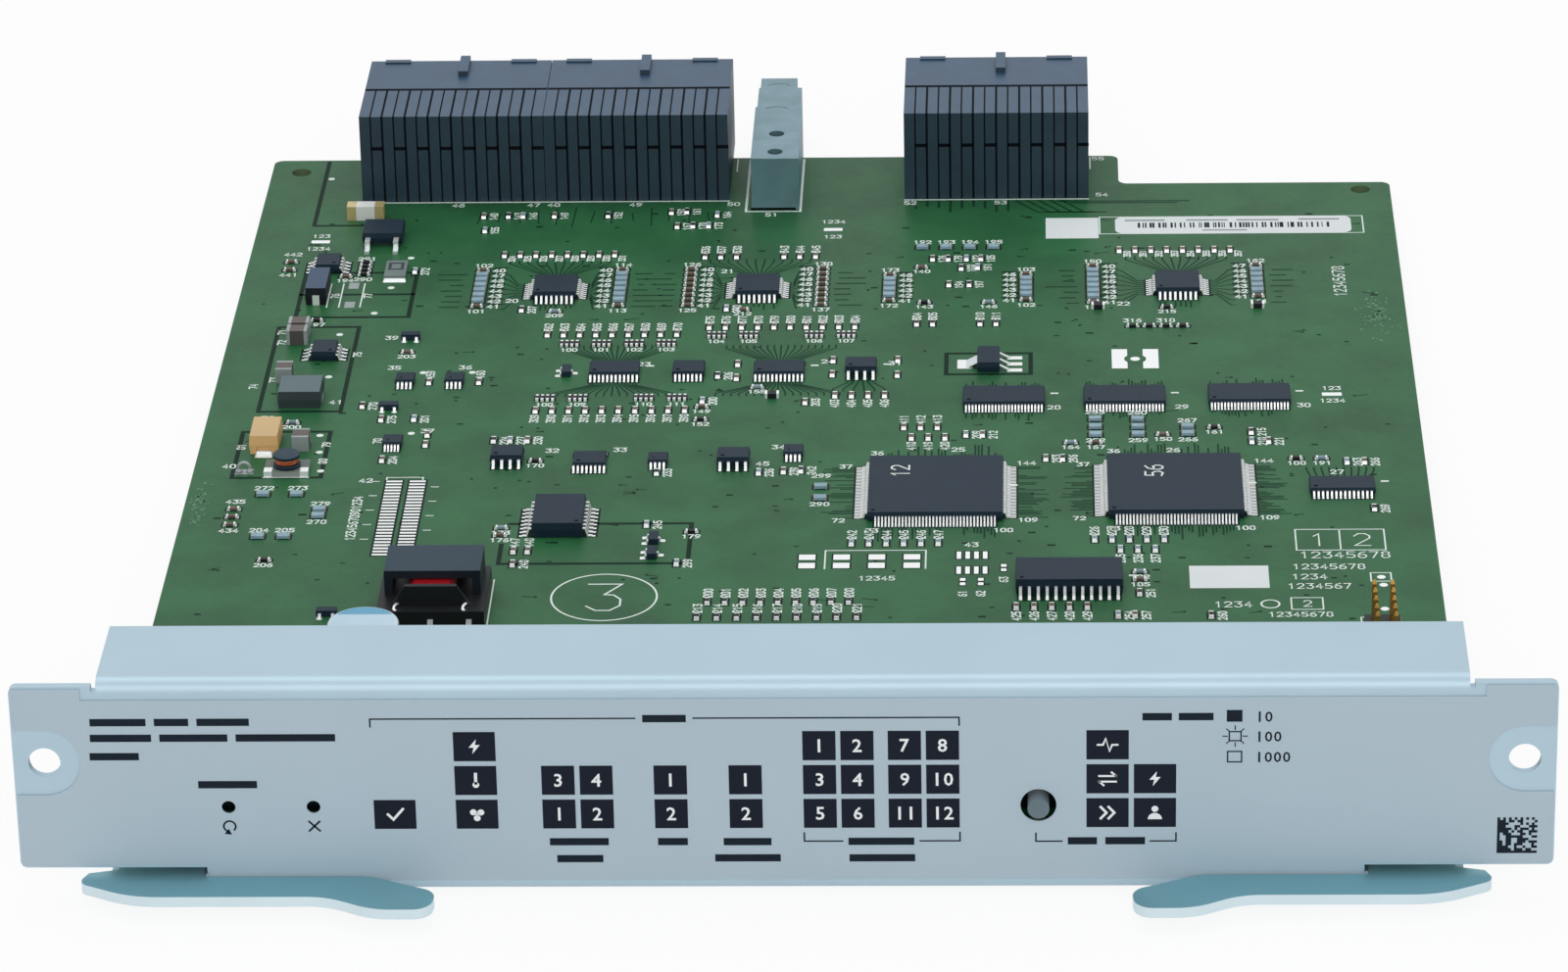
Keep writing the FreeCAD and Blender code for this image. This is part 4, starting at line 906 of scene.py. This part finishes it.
# Bare pads
lands += [centred([(x, 111.0 - 1.05 * k) for x in (-61.5, -58.0) for k in range(25)], 1.2, 0.28),
          centred(stateSpots, 1.2, 0.9), centred(bareSpots, 0.33, 1.2),
          centred([(x, back + shift) for x, back in pairSpots for shift in (-0.72, 0.72)], 0.4, 0.45),
          rectangles([(45.8, 48.2, 151.0, 158.3), (50.6, 53.0, 151.0, 158.3), (-82.7, -79.7, 202.2, 203.4),
                      (0.0, 3.0, 206.1, 207.3), (77.6, 80.6, 140.4, 141.6), (22.0, 24.4, 151.2, 154.6),
                      (-69.7, -66.1, 186.0, 187.0), (-83.3, -80.7, 119.6, 120.8)]),
          centred([(30.8, back) for back in (150.6, 152.9, 155.2)], 1.2, 0.6)]
dullPads = [(-75.0, -73.4, 183.6, 186.0), (-75.0, -73.4, 176.0, 178.4), (-85.7, -82.9, 113.7, 115.5)]
socket = [(49.4, 154.6)]
piece("solderLands", onBoard(join(lands), layer["land"]), "brightTin")
piece("dullLands", onBoard(rectangles(dullPads), layer["land"]), "dullSteel")
piece("socketRing", onBoard(discs(socket, 1.7, 28), layer["ring"]), "board_laminate")
piece("socketCentre", onBoard(discs(socket, 0.75, 20), layer["centre"]), "brightTin")
print("tracks and pads made")


# Board print

silkWide = {"thin": 0.22, "thick": 0.4, "dot": 0.55}
silkLines = [[(-44.2, 61.5), (-44.2, 77.2)], outline(71.7, 84.6, 86.0, 93.0), [(78.1, 86.0), (78.1, 93.0)],
             outline(44.5, 86.9, 204.2, 211.2),
             [(-62.7, 111.6), (-62.7, 112.4), (-57.3, 112.4), (-57.3, 111.6)],
             outline(80.0, 85.5, 46.6, 63.9), [(3.4, 80.4), (3.4, 86.5), (18.0, 86.5), (18.0, 80.4)],
             outline(82.0, 84.9, 75.6, 78.4), outline(70.3, 74.8, 66.5, 70.3), [(43.2, 231.8), (43.2, 236.8)],
             [(-15.0, 231.5), (-15.0, 236.8)], [(-81.3, 112.55), (-74.5, 112.55)]]
silkLines += [[(x, 176.2), (x, 185.6)] for x in (-77.8, -75.85, -72.5)]
silkLines += [[(-64.8, back), (-63.8, back)] for back in (111.0, 106.0, 101.0, 96.0, 91.0)]
silkLines += [[(-55.8, back), (-54.8, back)] for back in (109.0, 104.0, 99.0, 94.0)]
thickLines = [[(-75.6, 218.95), (-15.9, 218.95)], [(13.0, 218.95), (42.7, 218.95)],
              outline(-12.9, -4.05, 214.4, 236.6)]
ring = {"x": -28.0, "back": 71.3, "radius": 7.6, "line": 0.28}
rings = [arc(ring["x"], ring["back"], ring["radius"], 0, 360, 60), arc(67.3, 68.3, 1.3, 0, 360, 24)]
dots = [(-81.9, 229.4), (-66, 195.9), (-68.2, 183.9), (-70, 173.8), (-74.7, 165.5), (-74.9, 149.3),
        (-74.2, 127.6), (-73.7, 121.5), (-60.4, 150.7), (-52.8, 150.7), (-60.4, 128.2), (-72.9, 114.8)]
# Short bars at the right end of the larger chips; about half a body's length goes with each place
barSpots = ([(x, back, 10) for x, back in logicSpots] + [(x, back, 6.2) for x, back in busSpots]
            + [(x, back, 3.9) for x, back in longSpots]
            + [(*sideSpot, 4.9), (*wideSpot, 7.7), (*midSpot, 2.5)])
bars = centred([(x + half + 1.5, back + 2.45) for x, back, half in barSpots], 0.6, 0.25)
silk = join([strokes(silkLines, silkWide["thin"]), strokes(thickLines, silkWide["thick"]),
             strokes(rings, ring["line"]), bars, discs(dots, silkWide["dot"], 14)])
piece("silkLines", onBoard(silk, layer["silk"]), "silkInk")
testSpots = [(83.5, 77.0), (83.7, 74.4), (83.5, 66.6)]
piece("testSpots", onBoard(discs(testSpots, 0.62, 16), layer["spot"]), "brightTin")


# Numbers that count up along a list of spots
def numbered(first, spots, height, turn=0.0, step=1, width=0.24):
    return [digitRow(str(first + step * k), x, back, height, turn, width)
            for k, (x, back) in enumerate(spots)]


# Plain numbers beside the parts: heights, then how far they stand from the chips. Rows with these backs
# have their numbers between the chips or in front of them.
numeral = {"row": 1.2, "between": 1.0, "single": 1.15, "pack": 1.1, "column": 1.25, "chip": 1.3,
           "columnLine": 0.3, "rowGap": 2.9, "betweenGap": (1.27, -1.4), "levelGap": 2.3, "endGap": 1.9,
           "sideGap": 1.6, "frontGap": 1.5, "pairGap": 4.0, "wideStep": 3, "skip": 4}
labels = []
nextNumber = 101
between = (196.7, 197.3)
below = (136.2, 141.3, 125.7, 67.6, 86.4)
for x, back, count, stepX, stepBack, turn, kind in rows:
    line = np.array([(x + k * stepX, back) for k in range(count)])
    if turn == 90 and stepBack == 0 and back in between:
        labels += numbered(nextNumber, line + numeral["betweenGap"], numeral["between"], 90)
    elif turn == 90 and stepBack == 0:
        gap = numeral["rowGap"] * (-1 if back in below else 1)
        labels += numbered(nextNumber, line + (0, gap), numeral["row"], 90)
    elif stepX > numeral["wideStep"]:
        labels += numbered(nextNumber, line + (0, numeral["levelGap"]), numeral["row"])
    elif stepX > 0:
        labels += numbered(nextNumber, line[::2] + (0, numeral["levelGap"]), numeral["row"], step=2)
    elif turn == 0:
        ends = [(x, back - numeral["endGap"]), (x, back + stepBack * count)]
        labels += numbered(nextNumber, ends, numeral["row"])
    nextNumber += count + numeral["skip"]
labels += numbered(140, np.array(singles[90]) + (numeral["sideGap"], 0), numeral["single"], 90, 3)
labels += numbered(140, np.array(singles[0]) - (0, numeral["frontGap"]), numeral["single"], 0, 3)
labels += numbered(100, np.array(packSpots) - (0, numeral["endGap"]), numeral["pack"])
labels += numbered(61, np.array(pairSpots) - (0, numeral["pairGap"]), numeral["single"], 90)
labels += numbered(71, [(-83.8, 166.5), (-83.5, 162.5), (-83.3, 148.2), (-86.2, 145.8), (-71.2, 157.7),
                        (-76.8, 180.7), (-71.6, 180.7), (-65.3, 125.5), (-72.9, 124.2), (-72.9, 118.3),
                        (-85.7, 123.5)], numeral["single"], 90)
for x, back, count in labelColumns:
    column = [(x, back + columnStep * k) for k in range(count)]
    labels += numbered(41, column, numeral["column"], width=numeral["columnLine"])
labels += numbered(20, [
    (-48.6, 178.4), (-14.9, 189.8), (47.9, 176.0), (-26.4, 153.5), (2.0, 154.2), (22.4, 121.4),
    (54.55, 120.9), (78.7, 112.9), (36.8, 136.6), (56.2, 136.6), (74.7, 137.0), (12.4, 153.4),
    (-38.6, 121.7), (-28.4, 121.9), (-4.6, 122.6), (-65.0, 152.6), (-54.0, 152.6), (-58.0, 129.0),
    (-82.8, 134.0), (-66.4, 164.1), (-86.8, 116.6), (-72.9, 139.8), (-65.8, 111.3), (24.6, 88.3),
    (-67.2, 67.1), (-6.8, 116.7), (-60.0, 217.7), (-47.7, 217.7), (-44.4, 217.7), (-31.0, 217.6),
    (-15.0, 217.6), (-8.7, 213.0), (13.8, 217.6), (28.5, 217.6), (45.0, 220.7), (44.5, 236.3)],
    numeral["chip"])
pinNumbers = (("36", -8.9, 13.9), ("37", -13.5, 9.2), ("72", -14.2, -9.6), ("73", -9.2, -13.1),
              ("108", 10.0, -13.1), ("109", 13.6, -9.6), ("144", 13.4, 10.2))
for x, back in logicSpots:
    labels += [digitRow(text, x + dx, back + dy, numeral["row"]) for text, dx, dy in pinNumbers]
plainRows = (("1", 74.9, 89.5, 4.0), ("2", 81.3, 89.5, 4.0), ("12345678", 78.6, 84.4, 2.0),
             ("12345678", 76.1, 80.5, 1.6), ("1234", 73.2, 77.2, 1.6), ("1234567", 74.5, 74.1, 1.6),
             ("2", 72.6, 68.4, 1.9), ("1234", 62.0, 68.2, 1.7), ("12345678", 71.5, 64.9, 1.4),
             ("3", ring["x"], ring["back"], 8.6), ("12345", 11.0, 77.2, 1.3), ("123", 79.1, 143.2, 1.2),
             ("1234", 79.1, 138.6, 1.2), ("1234", 1.5, 209.9, 1.2), ("123", 1.5, 203.7, 1.2),
             ("123", -81.3, 205.1, 1.2), ("1234", -81.3, 199.9, 1.2))
labels += [digitRow(text, x, back, height, 0, 0.2 + 0.01 * height) for text, x, back, height in plainRows]
labels += [digitRow("12345678901234", -66.4, 98.2, 1.3, 90), digitRow("12345678", 82.1, 184.5, 1.8, 90)]
piece("silkNumbers", onBoard(join(labels), layer["number"]), "silkInk")

# White labels: a long one with plain bars and two bare boxes
label = {"x0": 47.0, "x1": 85.0, "y0": 204.2, "y1": 211.3, "corner": 1.6, "bars": 70, "barX0": 50.0,
         "barX1": 81.6, "barY0": 206.6, "barY1": 208.7}
x0, x1 = label["x0"] + label["corner"], label["x1"] - label["corner"]
y0, y1 = label["y0"] + label["corner"], label["y1"] - label["corner"]
longLabel = np.concatenate([arc(x, y, label["corner"], a, a + 90, 6) for x, y, a in
                            ((x1, y1, 0), (x0, y1, 90), (x0, y0, 180), (x1, y0, 270))])
whiteBoxes = rectangles([(35.8, 44.3, 202.4, 210.9), (56.0, 67.4, 73.5, 80.9)])
piece("whiteLabels", onBoard(join([polygon(longLabel), whiteBoxes]), layer["paper"]), "labelPaper")
barX = np.cumsum(draw.uniform(0.3, 1.0, label["bars"])) + label["barX0"]
barEnd = barX + draw.uniform(0.14, 0.42, label["bars"])
keep = barX < label["barX1"]
labelBars = spans(barX[keep], barEnd[keep], label["barY0"], label["barY1"])
piece("labelBars", onBoard(labelBars, layer["paperInk"]), "darkInk")
faintRows = [(48.6, 55.0, 209.4, 210.0), (58.5, 65.2, 209.4, 210.0), (66.6, 73.4, 209.4, 210.0),
             (76.6, 83.2, 209.6, 210.2), (61.0, 68.2, 205.3, 205.8)]
piece("labelLines", onBoard(rectangles(faintRows), layer["paperInk"]), "faintInk")
chipTop = 1.5
chipNumbers = [digitRow("12", 13.9, 110.8, 2.6, 90, 0.28), digitRow("56", 51.5, 110.5, 2.6, 90, 0.28)]
piece("chipNumbers", onBoard(join(chipNumbers), chipTop + film), "silkInk")
print("board print made")


# Face print: tiles, plain numbers and simple signs

tile = {"number": 4.42, "sign": 5.62, "tall": 4.37, "digit": 1.95, "pitch": 5.08, "markLift": 0.01}
numberTiles = {(-29.9, 1): "1", (-24.8, 1): "2", (-29.9, 2): "3", (-24.8, 2): "4", (-14.9, 2): "1",
               (-14.9, 1): "2", (-4.9, 2): "1", (-4.9, 1): "2", (5.0, 3): "1", (10.05, 3): "2", (5.0, 2): "3",
               (10.05, 2): "4", (5.0, 1): "5", (10.05, 1): "6", (16.35, 3): "7", (21.4, 3): "8",
               (16.35, 2): "9", (21.4, 2): "10", (16.35, 1): "11", (21.4, 1): "12"}
signTiles = {(-51.9, 1): "check", (-40.9, 3): "bolt", (-40.9, 2): "warm", (-40.9, 1): "fan",
             (43.3, 3): "pulse", (43.3, 2): "swap", (43.3, 1): "fast", (49.6, 2): "bolt", (49.6, 1): "person"}
arrows = [[(-1.1, 0.42), (1.1, 0.42)], [(0.55, 0.95), (1.1, 0.42)], [(1.1, -0.42), (-1.1, -0.42)],
          [(-0.55, -0.95), (-1.1, -0.42)]]
fanTurn = np.radians((0, 120, 240)) + 0.5
signs = {
    "check": strokes([[(-0.95, 0.0), (-0.25, -0.75), (1.05, 0.8)]], 0.36),
    "bolt": polygon([(0.25, 1.1), (-0.75, -0.15), (-0.1, -0.15), (-0.3, -1.1), (0.75, 0.25), (0.1, 0.25)]),
    "warm": join([strokes([[(0, 0.95), (0, -0.4)]], 0.42), discs([(0, -0.65)], 0.45, 16)]),
    "fan": join([discs(0.58 * np.stack([np.cos(fanTurn), np.sin(fanTurn)], 1), 0.46, 16),
                 discs([(0, 0)], 0.24, 12)]),
    "pulse": strokes([[(-1.3, 0), (-0.6, 0), (-0.25, 0.95), (0.25, -0.95), (0.6, 0), (1.3, 0)]], 0.28),
    "swap": strokes(arrows, 0.28),
    "fast": strokes([[(x, 0.85), (x + 0.75, 0), (x, -0.85)] for x in (-0.9, 0.15)], 0.34),
    "person": join([discs([(0, 0.55)], 0.46, 16), polygon(arc(0, -1.0, 0.95, 0, 180, 16))]),
}


def tileSpots(tiles):
    return [(x, boardTop + tile["pitch"] * (row - 0.5)) for x, row in tiles]


tiles = join([centred(tileSpots(numberTiles), tile["number"] / 2, tile["tall"] / 2),
              centred(tileSpots(signTiles), tile["sign"] / 2, tile["tall"] / 2)])
marks = [number(text, x, z, tile["digit"])
         for (x, z), text in zip(tileSpots(numberTiles), numberTiles.values())]
marks += [(signs[text][0] + (x, z, 0), signs[text][1])
          for (x, z), text in zip(tileSpots(signTiles), signTiles.values())]
piece("faceTiles", facing(tiles, face - film), "tileInk")
piece("faceMarks", facing(join(marks), face - film - tile["markLift"]), "markInk")

brackets = [[(-54.67, 5.3), (-54.67, 6.45), (-19.4, 6.45)], [(-11.6, 6.45), (23.64, 6.45), (23.64, 5.3)],
            [(2.82, -10.8), (2.82, -12.05), (7.9, -12.05)], [(18.3, -12.05), (23.62, -12.05), (23.62, -10.8)],
            [(33.75, -10.95), (33.75, -12.15), (37.2, -12.15)],
            [(49.0, -12.15), (52.42, -12.15), (52.42, -10.95)]]
# Plain bars: start, end and middle height
plainBars = np.array([
    (-92.1, -84.6, 6.05), (-83.5, -78.9, 6.05), (-77.8, -70.8, 6.05), (-92.2, -84.0, 3.70),
    (-82.9, -73.8, 3.70), (-72.7, -59.4, 3.70), (-92.4, -85.8, 0.95), (-78.1, -70.2, -3.30),
    (-18.4, -12.6, 6.40), (-31.3, -23.4, -12.05), (-30.4, -24.2, -14.62), (-16.8, -12.8, -12.07),
    (-8.0, -1.6, -12.10), (-9.2, -0.4, -14.56), (8.7, 17.5, -12.10), (8.8, 17.6, -14.60),
    (38.0, 41.9, -12.10), (43.0, 48.3, -12.10), (47.9, 51.8, 6.45), (52.7, 57.3, 6.45)])
barHalf = 0.55
barPrint = spans(plainBars[:, 0], plainBars[:, 1], plainBars[:, 2] - barHalf, plainBars[:, 2] + barHalf)
sun = {"x": 60.18, "z": 3.53, "near": (1.05, 1.0), "far": (1.6, 1.5), "line": 0.16}
rays = [[(sun["x"] + sun[end][0] * c, sun["z"] + sun[end][1] * s) for end in ("near", "far")]
        for c, s in arc(0, 0, 1, 0, 360, 8)[:-1]]
legend = [rectangles([(59.04, 61.12, 5.67, 7.42)]),
          strokes([outline(59.2, 61.05, -0.3, 1.25), outline(59.4, 60.95, 2.85, 4.2)], 0.2),
          strokes(rays, sun["line"]), number("10", 64.0, 6.4, 1.55), number("100", 64.6, 3.45, 1.55),
          number("1000", 65.2, 0.4, 1.55)]
resetSign = join([strokes([arc(-74.2, -9.6, 0.8, -40, 250, 22)], 0.26),
                  polygon([(-74.95, -10.75), (-73.95, -10.85), (-74.35, -9.95)])])
clearSign = strokes([[(-63.5, -10.3), (-62.1, -8.9)], [(-63.5, -8.9), (-62.1, -10.3)]], 0.28)
code = {"cells": 14, "x": 95.11, "z": -14.11, "wide": 5.34, "tall": 5.38}
cells = draw.random((code["cells"], code["cells"])) < 0.5
cells[:, 0] = True
cells[0, :] = True
cells[:, -1] = np.arange(code["cells"]) % 2 == 0
cells[-1, :] = np.arange(code["cells"]) % 2 == 0
row, column = np.nonzero(cells)
cellWide, cellTall = code["wide"] / code["cells"], code["tall"] / code["cells"]
codeBlock = spans(code["x"] + column * cellWide, code["x"] + (column + 1) * cellWide,
                  code["z"] + row * cellTall, code["z"] + (row + 1) * cellTall)
piece("faceInk", facing(join([strokes(brackets, 0.22), barPrint, resetSign, clearSign, codeBlock] + legend),
                        face - film), "darkInk")
print("face print made")


# Floor, light and camera

# Floor = a wide plane under the lowest edges of the panel and the levers
ground = {"point": (17.0, -19.85), "slope": 7.4 / 219.1, "size": 4000.0}
corners = [(x, y, ground["point"][1] + (y - ground["point"][0]) * ground["slope"])
           for x, y in outline(-ground["size"], ground["size"], -ground["size"], ground["size"])[:-1]]
floorMesh = bpy.data.meshes.new("floor")
floorMesh.from_pydata((np.array(corners) * mm).tolist(), [], [(0, 1, 2, 3)])
floor = bpy.data.objects.new("floor", floorMesh)
scene.collection.objects.link(floor)


# 1 for rays that the eye, gloss or glass sends, 0 for the rest
def seenRay(tree):
    path = addNode(tree, "LightPath")
    total = path.outputs["Is Camera Ray"]
    for other in ("Is Glossy Ray", "Is Transmission Ray"):
        sockets = {0: total, 1: path.outputs[other]}
        total = addNode(tree, "Math", sockets, operation="ADD", use_clamp=True).outputs[0]
    return total


def mixShaders(tree, share, first, second, output):
    mix = addNode(tree, "MixShader", {0: share, 1: first.outputs[0], 2: second.outputs[0]})
    tree.links.new(mix.outputs[0], tree.nodes[output].inputs["Surface"])


# Floor look = pale matt surface, mostly white to the eye, so that only the shadow darkens it
floorLook = bpy.data.materials.new("paleFloor")
floorLook.use_nodes = True
tree = floorLook.node_tree
matt = tree.nodes["Principled BSDF"]
matt.inputs["Base Color"].default_value = (0.95, 0.95, 0.95, 1)
matt.inputs["Roughness"].default_value = 0.9
glow = addNode(tree, "Emission", {"Strength": 1.0})
share = addNode(tree, "Math", {0: seenRay(tree), 1: 0.9}, operation="MULTIPLY").outputs[0]
mixShaders(tree, share, matt, glow, "Material Output")
floorMesh.materials.append(floorLook)

world = bpy.data.worlds.new("studio")
scene.world = world
world.use_nodes = True
tree = world.node_tree
ambient = tree.nodes["Background"]
ambient.inputs["Color"].default_value = (0.96, 0.98, 1.0, 1)
ambient.inputs["Strength"].default_value = 0.5
white = addNode(tree, "Background", {"Strength": 1.0, "Color": (1, 1, 1, 1)})
mixShaders(tree, seenRay(tree), ambient, white, "World Output")


def aim(thing, right, up, back, place):
    turn = np.eye(4)
    turn[:3] = np.stack([right, up, back, place], 1)
    thing.matrix_world = Matrix(turn.tolist())


def softLamp(name, place, target, width, height, power):
    data = bpy.data.lights.new(name, "AREA")
    data.shape = "RECTANGLE"
    data.size, data.size_y = width, height
    data.energy = power
    lamp = bpy.data.objects.new(name, data)
    scene.collection.objects.link(lamp)
    back = np.array(place, float) - np.array(target, float)
    back /= np.linalg.norm(back)
    side = np.cross((0.0, 1.0, 0.01), back)
    side /= np.linalg.norm(side)
    aim(lamp, side, np.cross(back, side), back, place)


softLamp("topLamp", (-0.15, 0.35, 1.30), (0.0, 0.11, 0.0), 1.3, 1.0, 5.6)
softLamp("frontLamp", (0.1, -1.25, 0.75), (0.0, 0.05, 0.0), 1.4, 0.8, 6.6)

# Focal length and image width are in pixels
camera = {"place": (33.53, -793.15, 409.89), "focal": 6839.5, "wide": 1600, "sensor": 36.0, "yaw": -2.345,
          "pitch": 25.0, "roll": 1.245}
yaw, pitch, roll = (math.radians(camera[key]) for key in ("yaw", "pitch", "roll"))
ahead = np.array([math.sin(yaw) * math.cos(pitch), math.cos(yaw) * math.cos(pitch), -math.sin(pitch)])
level = np.array([math.cos(yaw), -math.sin(yaw), 0.0])
down = np.cross(ahead, level)
right = math.cos(roll) * level + math.sin(roll) * down
down = -math.sin(roll) * level + math.cos(roll) * down
lens = bpy.data.cameras.new("camera")
lens.sensor_fit = "HORIZONTAL"
lens.sensor_width = camera["sensor"]
lens.lens = camera["focal"] * camera["sensor"] / camera["wide"]
lens.clip_start, lens.clip_end = 0.05, 20.0
eye = bpy.data.objects.new("camera", lens)
scene.collection.objects.link(eye)
aim(eye, right, -down, -ahead, np.array(camera["place"]) * mm)
scene.camera = eye
scene.view_settings.view_transform = "Standard"
print("stage made")
